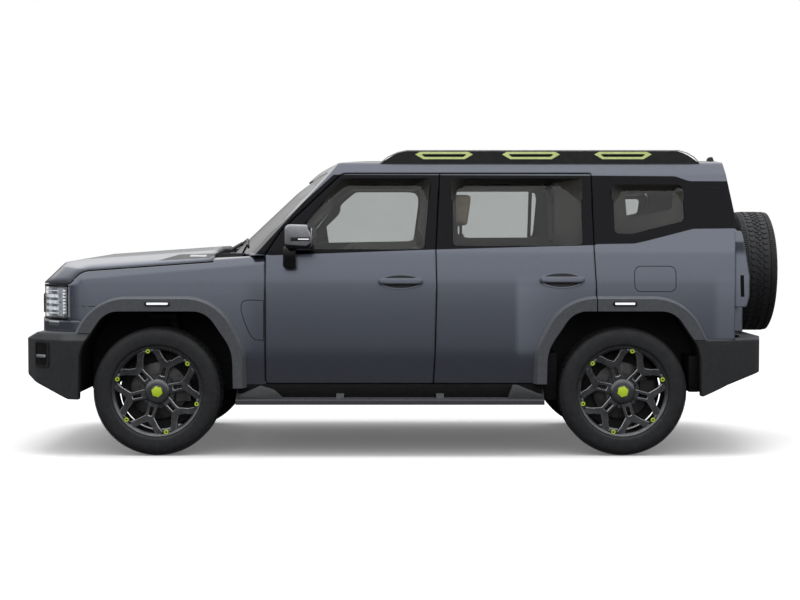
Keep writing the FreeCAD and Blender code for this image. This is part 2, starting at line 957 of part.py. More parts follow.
def flare_corners(axle, inset):
    right = [
        (s.flare_waist_half_width - inset, 0),
        (s.flare_waist_half_width - inset, s.flare_waist_height, s.flare_waist_radius),
        (s.flare_head_half_width - inset, s.flare_height - inset, s.flare_head_radius - inset),
    ]
    return [(axle + c[0],) + c[1:] for c in right] + [(axle - c[0],) + c[1:] for c in reversed(right)]


arch_outlines, arch_openings, arch_cuts, liner_rooms = {}, {}, {}, {}
for place, axle in (("front", front_axle), ("rear", rear_axle)):
    arch = outline(f"{place}_arch", "side", arch_corners(axle))
    wide_arch = grown(f"{place}_arch_edge", arch, s.flare_lip)
    arch_outlines[place] = arch
    arch_openings[place] = extrude(f"{place}_arch_opening", arch, "side", -s.reach, s.reach)
    arch_cuts[place] = extrude(f"{place}_arch_cut", wide_arch, "side", -s.reach, s.reach)
    liner_edge = s.liner_outer_half_width + s.seat_gap
    liner_rooms[place] = extrude(f"{place}_liner_pocket", wide_arch, "side", -liner_edge, liner_edge)

# Body shell behind the fenders, before it is parted into sides and roof

front_window = outline("front_window", "side", [
    (behind(s.front_window_nose_station), s.front_window_foot_height, s.window_radius),
    (behind(s.front_window_rear_foot_station), s.front_window_foot_height, s.window_radius),
    (behind(s.front_window_rear_head_station), s.window_head_height, s.window_radius),
    (behind(s.front_window_head_station), s.window_head_height, s.window_radius),
])
rear_window = outline("rear_window", "side", [
    (behind(s.rear_window_front_station), s.rear_window_foot_height, s.window_radius),
    (behind(s.rear_window_rear_station), s.rear_window_foot_height, s.window_radius),
    (behind(s.rear_window_rear_station), s.window_head_height, s.window_radius),
    (behind(s.rear_window_front_station), s.window_head_height, s.window_radius),
])
quarter_window = outline("quarter_window", "side", [
    (behind(s.quarter_window_front_station), s.quarter_window_foot_height, s.window_radius),
    (behind(s.quarter_window_bend_station), s.quarter_window_foot_height, s.window_radius),
    (behind(s.quarter_window_rear_station), s.quarter_window_rear_foot_height, s.window_radius),
    (behind(s.quarter_window_rear_station), s.quarter_window_head_height, s.window_radius),
    (behind(s.quarter_window_front_station), s.quarter_window_head_height, s.window_radius),
])
window_holes = {
    "front": extrude("front_window_hole", front_window, "side", -s.reach, 0),
    "rear": extrude("rear_window_hole", rear_window, "side", -s.reach, 0),
    "quarter": extrude("quarter_window_hole", quarter_window, "side", -s.reach, 0),
}

tailgate_half = [
    (s.tailgate_half_width, s.tailgate_bottom_height),
    (s.tailgate_half_width, s.tailgate_waist_height, s.tailgate_waist_radius),
    (s.tailgate_head_half_width, s.tailgate_head_height, s.tailgate_head_radius),
]
tailgate_outline = outline("tailgate_face", "section", two_sided(tailgate_half))
tailgate_opening = extrude("tailgate_opening", grown("tailgate_edge", tailgate_outline, s.tailgate_gap),
                           "section", tail - s.reach, tail + s.reach)
rear_passage = block("rear_passage", (tail - s.reach, tail - s.tail_wall), (-s.reach, s.reach), (0, s.sky))

body_shell = cut(
    "body_shell",
    common("body_form", cabin_skin, cabin_profile, cabin_plan, screen_front),
    cabin_cavity, cut("tail_hole", tailgate_opening, rear_passage),
)

roof_half_width = s.nose_edge_half_width
left_side = block("left_side", (cabin_front - s.overrun, tail + s.overrun),
                  (-s.reach, -roof_half_width), (0, s.sky))
roof_band = block("roof_band", (cabin_front - s.overrun, tail + s.overrun),
                  (-roof_half_width, roof_half_width), (s.window_head_height, s.sky))
tail_band = block("tail_band", (quarter, tail + s.overrun),
                  (-roof_half_width, roof_half_width), (0, s.tailgate_waist_height))

# The side panel ends at the fender, and its windscreen pillar stands on the fender's shoulder
side_zone = prism("side_zone", "side", [
    (door_front - s.shut_gap, s.cabin_bottom_height - s.overrun),
    (tail + s.overrun, s.cabin_bottom_height - s.overrun),
    (tail + s.overrun, s.sky),
    (cabin_front, s.sky),
    (cabin_front, s.pillar_foot_height - s.pillar_front_drop),
    (door_front - s.shut_gap, s.pillar_foot_height),
], -s.reach, 0)

doors_outline = outline("doors", "side", both_doors_shape)
door_pocket = cut(
    "door_pocket",
    extrude("door_pocket_form", grown("door_edge", doors_outline, s.shut_gap), "side", -s.reach, 0),
    ring_cavity, quarter_zone,
)
front_ring = grown("front_ring", outline("front_door_ring", "side", [
    front_door_shape[0],
    (split_foot, s.door_bottom_height, s.door_corner_radius),
    (split_head, s.drip_height, s.door_corner_radius),
] + front_door_shape[3:]), -s.ring_width)
rear_ring = grown("rear_ring", outline("rear_door_ring", "side", [
    (split_foot, s.door_bottom_height, s.door_corner_radius),
    (rear_axle - s.flare_waist_half_width, s.door_bottom_height, s.door_corner_radius),
    (rear_axle - s.flare_head_half_width, s.flare_height, s.flare_head_radius - s.flare_taper),
    (quarter, s.flare_height),
    (quarter, s.drip_height, s.door_corner_radius),
    (split_head, s.drip_height, s.door_corner_radius),
]), -s.ring_width)
doorways = [
    extrude("front_doorway", front_ring, "side", -s.reach, 0),
    extrude("rear_doorway", rear_ring, "side", -s.reach, 0),
]
bumper_room = block("rear_bumper_room", (behind(s.tail_bumper_front_station) - s.seat_gap, tail + s.overrun),
                    (-s.reach, 0), (0, s.tail_bumper_top_height + s.seat_gap))
side_panel = cut(
    "side_panel",
    common("body_side_form", body_shell, left_side, side_zone),
    door_pocket, *doorways, window_holes["quarter"], arch_cuts["rear"], bumper_room,
)
# Hinge leaves stand on the door rings and end just short of the doors' inner faces
hinge_face = cabin_section("hinge_face", s.door_depth + s.seat_gap, s.frame_depth + s.seat_gap, s.roof_depth,
                           cabin_front, tail)
leaf_blocks = []
for leading in (door_front, split_belt + s.shut_gap):
    for foot_height in (s.hinge_low_height, s.hinge_high_height):
        leaf_x = (leading + s.hinge_setback, leading + s.hinge_setback + s.hinge_width)
        leaf_blocks.append(block("hinge_leaf", leaf_x,
                                 (-s.reach, 0), (foot_height, foot_height + s.hinge_height)))
leaves = cut("hinge_leaves", common("hinge_leaf_forms", hinge_face, fuse("hinge_leaf_blocks", *leaf_blocks)),
             ring_cavity)
side_with_hinges = fuse("side_with_hinges", side_panel, leaves)
tail_hinges = [
    block("tailgate_hinge", (tail - s.tail_hinge_depth, tail - s.tail_hinge_setback),
          (s.tailgate_half_width + s.seat_gap, s.tailgate_half_width + s.tailgate_gap + s.hinge_width),
          (foot_height, foot_height + s.hinge_height))
    for foot_height in (s.tail_hinge_low_height, s.tail_hinge_high_height)
]
node("body_side_left", side_with_hinges)
node("body_side_right", fuse("body_side_right", mirrored("right_side_panel", side_with_hinges), *tail_hinges))
node("roof_panel", common("roof_panel", body_shell, roof_band))

# Doors

door_skin = cut("door_skin", cabin_skin, door_cavity)


def shell_of_door(name, shape, *zones):
    zone = prism(f"{name}_zone", "side", shape, -s.reach, 0)
    return common(name, door_skin, zone, *zones)


front_door = cut("front_door_panel",
                 shell_of_door("front_door_form", front_door_shape), behind_front_door, window_holes["front"])
door_arch = extrude("door_arch", grown("door_arch_edge", arch_outlines["rear"], s.flare_lip + s.shut_gap),
                    "side", -s.reach, 0)
rear_door = cut("rear_door_panel",
                shell_of_door("rear_door_form", rear_door_shape, rear_door_zone),
                behind_rear_door, window_holes["rear"], door_arch)
both_sides("door_front", front_door)
both_sides("door_rear", rear_door)

pane_outer = cabin_section("pane_outer", s.glass_inset, s.glass_inset, s.glass_inset, cabin_front, tail)
pane_depth = s.glass_inset + s.glass_thickness
pane_inner = cabin_section("pane_inner", pane_depth, pane_depth, pane_depth,
                           cabin_front - s.overrun, tail + s.overrun)
panes = cut("panes", pane_outer, pane_inner)


def side_glass(label, window):
    fitted = extrude(f"{label}_form", grown(f"{label}_edge", window, -s.seat_gap), "side", -s.reach, 0)
    return common(f"{label}_pane", panes, fitted)


both_sides("glass_front", side_glass("front_glass", front_window))
both_sides("glass_rear", side_glass("rear_glass", rear_window))
quarter_pane = side_glass("quarter_glass", quarter_window)
node("quarter_windows", group("quarter_windows", quarter_pane, mirrored("quarter_pane_right", quarter_pane)))

screen_band = block("screen_band", (cabin_front - s.reach, tail), (-s.reach, s.reach),
                    (s.windscreen_foot_height, s.sky))
screen_room = common("screen_room",
                     cabin_section("screen_section", *(depth + s.seat_gap for depth in ring_inner),
                                   cabin_front - s.reach, tail),
                     under_roof("screen_profile", inner_tail, s.roof_depth + s.seat_gap))
node("windscreen", cut("windscreen", common("windscreen_form", screen_front, screen_room, screen_band),
                       screen_back))

# Nose: a cross-section swept down the hood's slope, within the side walls and a plan with a raked brow

slope = (s.nose_slope_run, 0, s.nose_slope_rise)
nose_rear = door_front - s.shut_gap


def nose_plan_corners(inset, setback, spread):
    return plan_sides([
        (inside_front(s.nose_tip_setback) + inset + setback, s.nose_front_half_width, s.nose_front_radius),
        (inside_front(s.nose_corner_setback) + inset + setback, s.nose_corner_half_width - inset,
         s.nose_corner_radius),
        (inside_front(s.nose_flank_setback) + setback, s.nose_flank_half_width - inset + spread,
         s.nose_flank_radius),
        (nose_rear + s.overrun, s.nose_flank_half_width - inset + spread),
    ])


def nose_solid(name, inset):
    """The nose's outer form, or that form pushed in all round by a depth."""
    top_half = [
        (s.nose_bevel_half_width - inset, 0),
        (s.nose_bevel_half_width - inset, s.nose_bevel_height - inset),
        (s.nose_shoulder_half_width - inset, s.nose_shoulder_height - inset, s.nose_shoulder_radius),
        (s.nose_edge_half_width, s.nose_edge_height - inset, s.nose_edge_radius),
        (s.nose_crown_half_width, s.nose_crown_height - inset, s.nose_crown_radius),
    ]
    top = sweep(f"{name}_top", outline(f"{name}_top", "section", two_sided(top_half), at=front_axle),
                slope, -s.reach, s.reach)
    wall_half = [
        (s.sill_half_width - inset, s.cabin_bottom_height),
        (s.body_half_width - inset, s.tuck_height, s.tuck_radius),
        (s.body_half_width - inset, s.crease_height, s.crease_radius),
        (s.belt_half_width - inset, s.belt_height),
        (s.belt_half_width - inset, s.sky),
    ]
    walls = prism(f"{name}_walls", "section", two_sided(wall_half), front - s.overrun, nose_rear)
    dip = prism(f"{name}_dip", "side", [
        (front - s.overrun, 0),
        (nose_rear + s.overrun, 0),
        (nose_rear + s.overrun, s.sky),
        (inside_front(s.nose_dip_end_setback) + s.nose_brow_rise, s.sky),
        (inside_front(s.nose_dip_end_setback), s.nose_dip_end_height - inset),
        (inside_front(s.nose_dip_setback), s.nose_dip_height - inset, s.nose_dip_radius / 2),
        (front - s.overrun, s.nose_brow_height),
    ], -s.reach, s.reach)
    lower = outline(f"{name}_lower", "plan", nose_plan_corners(inset, 0, 0), at=s.nose_brow_height)
    upper = outline(f"{name}_upper", "plan",
                    nose_plan_corners(inset, s.nose_brow_setback, s.nose_brow_spread),
                    at=s.nose_brow_height + s.nose_brow_rise)
    face = extrude(f"{name}_face", lower, "plan", -s.nose_brow_height, 0)
    brow = loft(f"{name}_brow", lower, upper)
    return common(name, top, walls, dip, fuse(f"{name}_plan", face, brow))


nose_skin = nose_solid("nose_skin", 0)
nose_under_hood = nose_solid("nose_under_hood", s.hood_depth)
nose_under_wall = nose_solid("nose_under_wall", s.fender_wall)
nose_behind_lamp = nose_solid("nose_behind_lamp", s.lamp_depth)

hood_rear = behind(s.hood_rear_station)
hood_side = outline("hood_side", "side", [
    (front - s.overrun, s.hood_lip_height),
    (behind(s.hood_lip_station), s.hood_lip_height, s.hood_lip_radius),
    (behind(s.hood_line_front_station), s.hood_line_front_height, s.hood_line_radius),
    (hood_rear, s.hood_line_rear_height),
    (hood_rear, s.sky),
    (front - s.overrun, s.sky),
])
hood_zone = extrude("hood_zone", hood_side, "side", -s.reach, s.reach)
hood_pocket = extrude("hood_pocket", grown("hood_edge", hood_side, s.shut_gap), "side", -s.reach, s.reach)
node("hood", cut("hood", common("hood_form", nose_skin, hood_zone), nose_under_hood))

fender_zone = prism("fender_zone", "side", [
    (behind(s.lamp_rear_station), s.lamp_bottom_height),
    (behind(s.fascia_rear_station), s.lamp_bottom_height),
    (behind(s.fascia_rear_station), s.bumper_top_height),
    (front_axle, s.bumper_top_height),
    (front_axle, s.cabin_bottom_height),
    (nose_rear, s.cabin_bottom_height),
    (nose_rear, s.sky),
    (behind(s.lamp_rear_station), s.sky),
], -s.reach, -s.cowl_side_half_width)
pillar_room = prism("pillar_room", "side", [
    (cabin_front - s.seat_gap, s.pillar_foot_height - s.pillar_front_drop - s.seat_gap),
    (nose_rear + s.overrun, s.pillar_foot_height - s.seat_gap),
    (nose_rear + s.overrun, s.sky),
    (cabin_front - s.seat_gap, s.sky),
], -s.reach, 0)
fender = cut(
    "fender_form",
    cut("fender_skin", nose_skin, nose_under_wall),
    hood_pocket, arch_cuts["front"], pillar_room,
)
both_sides("fender", common("fender_left", fender, fender_zone))

bumper_profile = [
    (behind(s.bumper_rear_station), s.bumper_foot_height),
    (behind(s.bumper_rear_station), s.bumper_top_height),
    (inside_front(s.bumper_brow_setback), s.bumper_top_height),
    (front, s.bumper_brow_height, s.bumper_brow_radius),
    (inside_front(s.bumper_chin_setback), s.bumper_chin_height, s.bumper_chin_radius),
    (inside_front(s.bumper_lip_setback), s.bumper_lip_height),
]


def bumper_plan_corners(inset):
    return plan_sides([
        (front + inset, s.bumper_front_half_width, s.bumper_front_radius),
        (inside_front(s.bumper_corner_setback) + inset, s.bumper_corner_half_width - inset,
         s.bumper_corner_radius),
        (inside_front(s.bumper_flank_setback), s.bumper_side_half_width - inset, s.bumper_flank_radius),
        (behind(s.bumper_rear_station) + inset, s.bumper_side_half_width - inset),
    ])


bumper_solid = cut(
    "bumper_solid",
    common("bumper_form", prism("bumper_profile", "side", bumper_profile, -s.reach, s.reach),
           prism("bumper_plan", "plan", bumper_plan_corners(0), 0, s.sky)),
    prism("bumper_hollow", "plan", bumper_plan_corners(s.bumper_wall), 0, s.sky),
)
node("front_bumper", cut("front_bumper", bumper_solid, arch_openings["front"], liner_rooms["front"]))

front_zone = prism("front_zone", "side", [
    (front - s.overrun, s.fascia_bottom_height),
    (behind(s.fascia_rear_station), s.fascia_bottom_height),
    (behind(s.fascia_rear_station), s.lamp_bottom_height),
    (front - s.overrun, s.lamp_bottom_height),
], -s.reach, s.reach)
node("front_fascia", cut("front_fascia", common("fascia_form", nose_skin, front_zone),
                         nose_under_wall, bumper_solid))

face_top = s.nose_brow_height
lamp_zone = block("lamp_zone", (front - s.overrun, behind(s.lamp_rear_station) - s.seat_gap),
                  (-s.reach, -s.lamp_inner_half_width), (s.lamp_bottom_height, face_top))
recessed_face = prism("recessed_face", "plan", nose_plan_corners(0, s.lamp_recess, 0), 0, s.sky)
lamp = cut("headlamp_left", common("headlamp_form", nose_skin, lamp_zone, recessed_face), nose_behind_lamp)
node("headlamps", group("headlamps", lamp, mirrored("headlamp_right", lamp)))

grille_half_width = s.lamp_inner_half_width
grille_zone = block("grille_zone", (front - s.overrun, inside_front(s.nose_corner_setback) + s.grille_depth),
                    (-grille_half_width, grille_half_width), (s.lamp_bottom_height, face_top))
grille_bar_zone = block("grille_bar_zone", (front - s.overrun, front_axle), (-s.reach, s.reach),
                        (s.grille_band_low, s.grille_band_high))
grille = cut("grille_body", common("grille_form", nose_skin, grille_zone,
                                   fuse("grille_face", recessed_face, grille_bar_zone)), nose_under_wall)
rows = SIZES["grille_row_count"]
columns = SIZES["grille_cell_count"]
cell_width = (grille_half_width * 2 - s.grille_rim * 2 + s.grille_bar) / columns
cell_height = (face_top - s.lamp_bottom_height - s.grille_rim * 2 + s.grille_bar) / rows
cells = []
for row in range(rows):
    for column in range(columns):
        left = -grille_half_width + s.grille_rim + cell_width * column
        low = s.lamp_bottom_height + s.grille_rim + cell_height * row
        right = left + cell_width - s.grille_bar
        high = low + cell_height - s.grille_bar
        cells.append(prism("grille_cell", "section", [
            (left, low, s.grille_cell_radius),
            (right, low, s.grille_cell_radius),
            (right, high, s.grille_cell_radius),
            (left, high, s.grille_cell_radius),
        ], front - s.overrun, front_axle))
node("grille", cut("grille", grille, fuse("grille_cells", *cells)))

# Rear bumper

tail_bumper = behind(s.tail_bumper_station)


def tail_bumper_plan_corners(inset):
    return plan_sides([
        (behind(s.tail_bumper_front_station) - inset, s.bumper_side_half_width - inset),
        (tail_bumper - s.tail_bumper_flank_setback, s.bumper_side_half_width - inset, s.tail_bumper_radius),
        (tail_bumper - s.tail_bumper_corner_setback - inset, s.tail_bumper_corner_half_width - inset,
         s.tail_bumper_corner_radius),
        (tail_bumper - inset, s.tail_bumper_rear_half_width, s.tail_bumper_radius),
    ])


node("rear_bumper", cut(
    "rear_bumper",
    common(
        "rear_bumper_form",
        prism("rear_bumper_profile", "side", [
            (behind(s.tail_bumper_front_station), s.tail_bumper_top_height),
            (behind(s.tail_bumper_front_station), s.tail_bumper_foot_height),
            (behind(s.tail_bumper_foot_station), s.tail_bumper_foot_height),
            (behind(s.tail_bumper_chin_station), s.tail_bumper_chin_height),
            (tail_bumper - s.tail_bumper_face_lean, s.tail_bumper_face_height, s.tail_bumper_face_radius),
            (tail_bumper, s.tail_bumper_top_height),
        ], -s.reach, s.reach),
        prism("rear_bumper_plan", "plan", tail_bumper_plan_corners(0), 0, s.sky),
    ),
    prism("rear_bumper_hollow", "plan", tail_bumper_plan_corners(s.tail_bumper_wall), 0, s.sky),
    arch_openings["rear"], liner_rooms["rear"],
))

# Arch flares, each tapering outwards, with a lip inside the arch

flares = {}
for place, axle in (("front", front_axle), ("rear", rear_axle)):
    root = outline(f"{place}_flare_root", "side", flare_corners(axle, 0), at=-s.flare_root_half_width)
    edge = outline(f"{place}_flare_edge", "side", flare_corners(axle, s.flare_taper), at=-s.flare_half_width)
    hollow = arch_openings[place]
    flares[place] = cut(f"{place}_flare", loft(f"{place}_flare_form", root, edge), hollow)

body_walls = fuse(
    "body_walls",
    cut("nose_walls", nose_skin, arch_cuts["front"]),
    cut("cabin_walls", cabin_skin, arch_cuts["rear"]),
)
flare_height_range = (s.flare_foot_height, s.sky)
front_flare = cut(
    "front_flare_left",
    common("front_flare_band", flares["front"],
           block("front_flare_range", (front, door_front), (-s.reach, 0), flare_height_range)),
    body_walls,
    block("front_flare_end", (front - s.overrun, front_axle), (-s.reach, 0), (0, s.bumper_top_height)),
)
rear_flare_band = cut(
    "rear_flare_band",
    common("rear_flare_band_form", flares["rear"],
           block("rear_flare_range", (split_foot, tail), (-s.reach, 0),
                 (s.door_bottom_height, s.sky))),
    body_walls,
    block("rear_flare_end", (rear_axle, tail), (-s.reach, 0), (0, s.tail_bumper_top_height)),
)
rear_flare = common("rear_flare_left", rear_flare_band,
                    block("rear_flare_keep", (quarter + s.shut_gap, tail), (-s.reach, 0), (0, s.sky)))
door_flare = common("door_flare_form", rear_flare_band,
                    block("door_flare_keep", (split_foot, quarter), (-s.reach, 0), (0, s.sky)))
both_sides("door_flare", door_flare)
node("arch_flares", group("arch_flares", front_flare, rear_flare,
                          mirrored("front_flare_right", front_flare),
                          mirrored("rear_flare_right", rear_flare)))

# Wheel housings behind the arches

liners = []
liner_sides = {
    "front": (s.front_liner_half_width, s.floor_height + s.rail_height),
    "rear": (s.liner_inner_half_width, s.floor_height),
}
leg_by_step = {"front": (front_axle, rear_axle), "rear": (front_axle, rear_axle)}
for place in ("front", "rear"):
    inner_half, wall_foot = liner_sides[place]
    outer = grown(f"{place}_liner_outer", arch_outlines[place], s.flare_lip - s.seat_gap)
    inner = grown(f"{place}_liner_inner", arch_outlines[place], s.flare_lip - s.liner_thickness)
    shell = cut(
        f"{place}_liner",
        fuse(f"{place}_liner_walls",
             extrude(f"{place}_liner_form", outer, "side", -s.liner_outer_half_width, -inner_half),
             extrude(f"{place}_liner_wall", outer, "side", -inner_half, -inner_half + s.liner_thickness)),
        extrude(f"{place}_liner_room", inner, "side", -s.reach, -inner_half),
        block(f"{place}_liner_foot", (front, rear), (-s.reach, -inner_half), (-s.reach, s.liner_foot_height)),
        block(f"{place}_liner_step", leg_by_step[place], (-s.reach, 0), (-s.reach, s.flare_foot_height)),
        block(f"{place}_liner_wall_foot", (front, rear), (-inner_half, 0), (-s.reach, wall_foot)),
        block(f"{place}_tower_room", (front_axle - s.tower_half_length - s.seat_gap,
                                      front_axle + s.tower_half_length + s.seat_gap),
              (-inner_half, 0), (s.tower_height - s.floor_depth - s.seat_gap, s.tower_height + s.seat_gap)),
    )
    liners += [shell, mirrored(f"{place}_liner_right", shell)]
node("wheel_liners", group("wheel_liners", *liners))

# Tailgate with its window

tail_inner = behind(s.tailgate_inner_station)
tailgate_profile = prism("tailgate_profile", "side", [
    (tail_inner, s.tailgate_bottom_height),
    (behind(s.tailgate_foot_station), s.tailgate_bottom_height),
    (behind(s.tailgate_foot_station), s.tailgate_fold_height),
    (behind(s.tailgate_bulge_station), s.tailgate_bulge_low_height, s.tailgate_bulge_radius),
    (behind(s.tailgate_bulge_station), s.tailgate_bulge_high_height, s.tailgate_bulge_radius),
    (behind(s.tailgate_belt_station), s.tailgate_belt_height, s.tailgate_bulge_radius),
    (behind(s.tailgate_sill_station), s.tailgate_sill_height),
    (behind(s.tailgate_head_station), s.tailgate_head_height),
    (behind(s.tailgate_head_station) - s.tailgate_frame_depth, s.tailgate_head_height),
    (behind(s.tailgate_sill_station) - s.tailgate_frame_depth, s.tailgate_sill_height),
    (tail_inner, s.tailgate_waist_height),
], -s.reach, s.reach)
tailgate_form = extrude("tailgate_form", tailgate_outline, "section", tail - s.reach, tail + s.reach)
window_lean = (s.tailgate_half_width - s.tailgate_head_half_width) / (
    s.tailgate_head_height - s.tailgate_waist_height)
window_foot_half = (s.tailgate_half_width - s.tailgate_window_rim
                    - window_lean * (s.tailgate_window_foot_height - s.tailgate_waist_height))
window_head_half = (s.tailgate_half_width - s.tailgate_window_rim
                    - window_lean * (s.tailgate_window_head_height - s.tailgate_waist_height))
tail_window = outline("tail_window", "section", two_sided([
    (window_foot_half, s.tailgate_window_foot_height, s.window_radius),
    (window_head_half, s.tailgate_window_head_height, s.window_radius),
]))
node("tailgate", cut(
    "tailgate",
    common("tailgate_slab", tailgate_form, tailgate_profile),
    extrude("tail_window_hole", tail_window, "section", tail - s.reach, tail + s.reach),
))
glass_front_face = (s.tailgate_frame_depth - s.glass_thickness) / 2
pane_head = behind(s.tailgate_head_station) - glass_front_face
pane_sill = behind(s.tailgate_sill_station) - glass_front_face
node("tailgate_glass", common(
    "tailgate_glass",
    extrude("tail_pane", grown("tail_pane_edge", tail_window, -s.seat_gap), "section",
            tail - s.reach, tail + s.reach),
    prism("tail_pane_lean", "side", [
        (pane_sill, s.tailgate_sill_height),
        (pane_head, s.tailgate_head_height),
        (pane_head - s.glass_thickness, s.tailgate_head_height),
        (pane_sill - s.glass_thickness, s.tailgate_sill_height),
    ], -s.reach, s.reach),
))

lamp_side = prism("tail_lamp_side", "side", [
    (behind(s.tail_lamp_front_station), s.tail_lamp_bottom_height, s.tail_lamp_radius),
    (behind(s.tailgate_foot_station) - s.tail_lamp_setback, s.tail_lamp_bottom_height, s.tail_lamp_radius),
    (behind(s.tailgate_bulge_station) - s.tail_lamp_setback, s.tailgate_bulge_low_height),
    (behind(s.tailgate_bulge_station) - s.tail_lamp_setback, s.tailgate_bulge_high_height),
    (behind(s.tailgate_belt_station) - s.tail_lamp_setback, s.tail_lamp_top_height, s.tail_lamp_radius),
    (behind(s.tail_lamp_front_station), s.tail_lamp_top_height, s.tail_lamp_radius),
], -s.tail_lamp_outer_half_width, -s.tail_lamp_inner_half_width)
lamp_room = cabin_section("tail_lamp_room", None, None, None, quarter, rear)
tail_lamp = cut("tail_lamp_left", common("tail_lamp_form", lamp_side, lamp_room),
                common("tail_lamp_seat", cabin_skin, cabin_profile, cabin_plan))
node("tail_lamps", group("tail_lamps", tail_lamp, mirrored("tail_lamp_right", tail_lamp)))

# Cowl between the hood and the windscreen

cowl_front = hood_rear + s.hood_rear_gap
cowl = cut("cowl_shelf", prism("cowl_form", "side", [
    (cowl_front, s.cowl_height - s.cowl_depth),
    (cowl_front + s.cowl_length, s.cowl_height - s.cowl_depth),
    (cowl_front + s.cowl_length, s.cowl_height),
    (cowl_front, s.cowl_height, s.cowl_radius),
], -s.cowl_side_half_width + s.seat_gap, s.cowl_side_half_width - s.seat_gap), screen_front)
leaf_low = s.cowl_height - s.cowl_depth - s.hinge_width
hood_leaf = common(
    "hood_leaf",
    block("hood_leaf_form", (hood_rear - s.hinge_width, cowl_front + s.hinge_width),
          (-s.hood_hinge_half_width - s.hinge_width, -s.hood_hinge_half_width),
          (leaf_low, s.sky)),
    nose_solid("hood_seat", s.hood_depth + s.seat_gap),
    block("hood_leaf_range", (front, hood_rear), (-s.reach, 0), (0, s.sky)),
)
leaf_foot = block("hood_leaf_foot", (hood_rear - s.seat_gap, cowl_front + s.hinge_width),
                  (-s.hood_hinge_half_width - s.hinge_width, -s.hood_hinge_half_width),
                  (leaf_low, s.cowl_height - s.cowl_depth + s.seat_gap))
hood_leaves = fuse("hood_leaf_left", hood_leaf, leaf_foot)
node("cowl_panel", fuse("cowl_panel", cowl, hood_leaves, mirrored("hood_leaf_right", hood_leaves)))

# Floor, tunnel, firewall, front rails and rear panel: one welded underbody

floor_low = s.floor_height - s.floor_depth
firewall = behind(s.firewall_station)
rail_half = (s.rail_inner_half_width, s.rail_inner_half_width + s.rail_width)
rail_zone = (s.floor_height - s.floor_depth, s.floor_height - s.floor_depth + s.rail_height)
beam_front = front + s.bumper_wall + s.seat_gap
floor_plate = cut(
    "floor_plate",
    common("floor_form", cabin_cavity,
           block("floor_slab", (firewall, tail - s.tail_wall), (-s.reach, s.reach),
                 (floor_low, s.floor_height))),
    *[block("wheelhouse_notch",
            (rear_axle - s.wheelhouse_half_length, rear_axle + s.wheelhouse_half_length), span, (0, s.sky))
      for span in ((-s.reach, -s.wheelhouse_half_width), (s.wheelhouse_half_width, s.reach))],
)
tunnel = prism("tunnel", "section", two_sided([
    (s.tunnel_half_width, floor_low),
    (s.tunnel_half_width - s.tunnel_taper, floor_low + s.tunnel_height, s.tunnel_radius),
]), firewall, behind(s.tunnel_rear_station))
tunnel_room = prism("tunnel_room", "section", two_sided([
    (s.tunnel_half_width - s.floor_depth, floor_low - s.overrun),
    (s.tunnel_half_width - s.tunnel_taper - s.floor_depth, floor_low + s.tunnel_height - s.floor_depth,
     s.tunnel_radius),
]), firewall - s.overrun, behind(s.tunnel_rear_station) - s.floor_depth)
firewall_plate = prism("firewall_plate", "section", two_sided([
    (s.firewall_half_width, floor_low),
    (s.firewall_half_width, s.firewall_shoulder_height),
    (s.dash_half_width, s.firewall_shoulder_height),
    (s.dash_half_width, s.cowl_height - s.cowl_depth - s.seat_gap),
]), firewall, firewall + s.firewall_depth)
rails = [block("front_rail", (beam_front, firewall + s.firewall_depth), span, rail_zone)
         for span in ((-rail_half[1], -rail_half[0]), rail_half)]
beam = block("front_beam", (beam_front, beam_front + s.beam_depth),
             (-s.beam_half_width, s.beam_half_width), rail_zone)
tower_front = front_axle - s.tower_half_length
tower_rear = front_axle + s.tower_half_length
towers = []
for sign in (-1, 1):
    edges = sorted((sign * s.tower_half_width, sign * s.rail_inner_half_width), key=value_of)
    post = sorted((sign * rail_half[0], sign * rail_half[1]), key=value_of)
    towers.append(block("tower_top", (tower_front, tower_rear), edges,
                        (s.tower_height - s.floor_depth, s.tower_height)))
    towers.append(block("tower_post", (tower_front, tower_rear), post, (rail_zone[0], s.tower_height)))
rear_panel = common("rear_panel", body_shell, tail_band)
jack_pads = [
    block("jack_pad", (behind(station), behind(station) + s.jack_pad_length), span,
          (floor_low - s.jack_pad_depth, s.floor_height))
    for station in (s.jack_front_station, s.jack_rear_station)
    for span in ((-s.jack_outer_half_width, -s.jack_inner_half_width),
                 (s.jack_inner_half_width, s.jack_outer_half_width))
]
tunnelled_floor = cut("floor_with_tunnel", fuse("floor_raised", floor_plate, tunnel), tunnel_room)
node("underbody", fuse("underbody", tunnelled_floor, firewall_plate, *rails, beam, *towers, rear_panel,
                       *jack_pads))

# Side steps on brackets under the sills

step_front = behind(s.step_front_station)
step_rear = behind(s.step_rear_station)
step_board = prism("step_board", "section", [
    (-s.step_half_width, s.step_height - s.step_depth),
    (-s.step_inner_half_width, s.step_height - s.step_depth - s.step_belly),
    (-s.step_inner_half_width, s.step_wall_height),
    (-s.step_wall_half_width, s.step_wall_height),
    (-s.step_wall_half_width, s.step_height + s.step_belly),
    (-s.step_half_width, s.step_height, s.step_radius),
], step_front, step_rear)
brackets = []
bracket_shares = (0, 1 / 3, 2 / 3, 1)
for share in bracket_shares:
    place = step_front + (step_rear - step_front - s.bracket_width) * share
    brackets.append(prism("step_bracket", "section", [
        (-s.step_half_width + s.step_tread_inset, s.step_height),
        (-s.step_inner_half_width, s.step_height),
        (-s.step_inner_half_width, s.cabin_bottom_height),
        (-s.bracket_outer_half_width, s.cabin_bottom_height),
    ], place, place + s.bracket_width))
step = fuse("side_step_left", step_board, *brackets)
node("side_steps", group("side_steps", step, mirrored("side_step_right", step)))

# Roof rails standing on the roof's shoulders

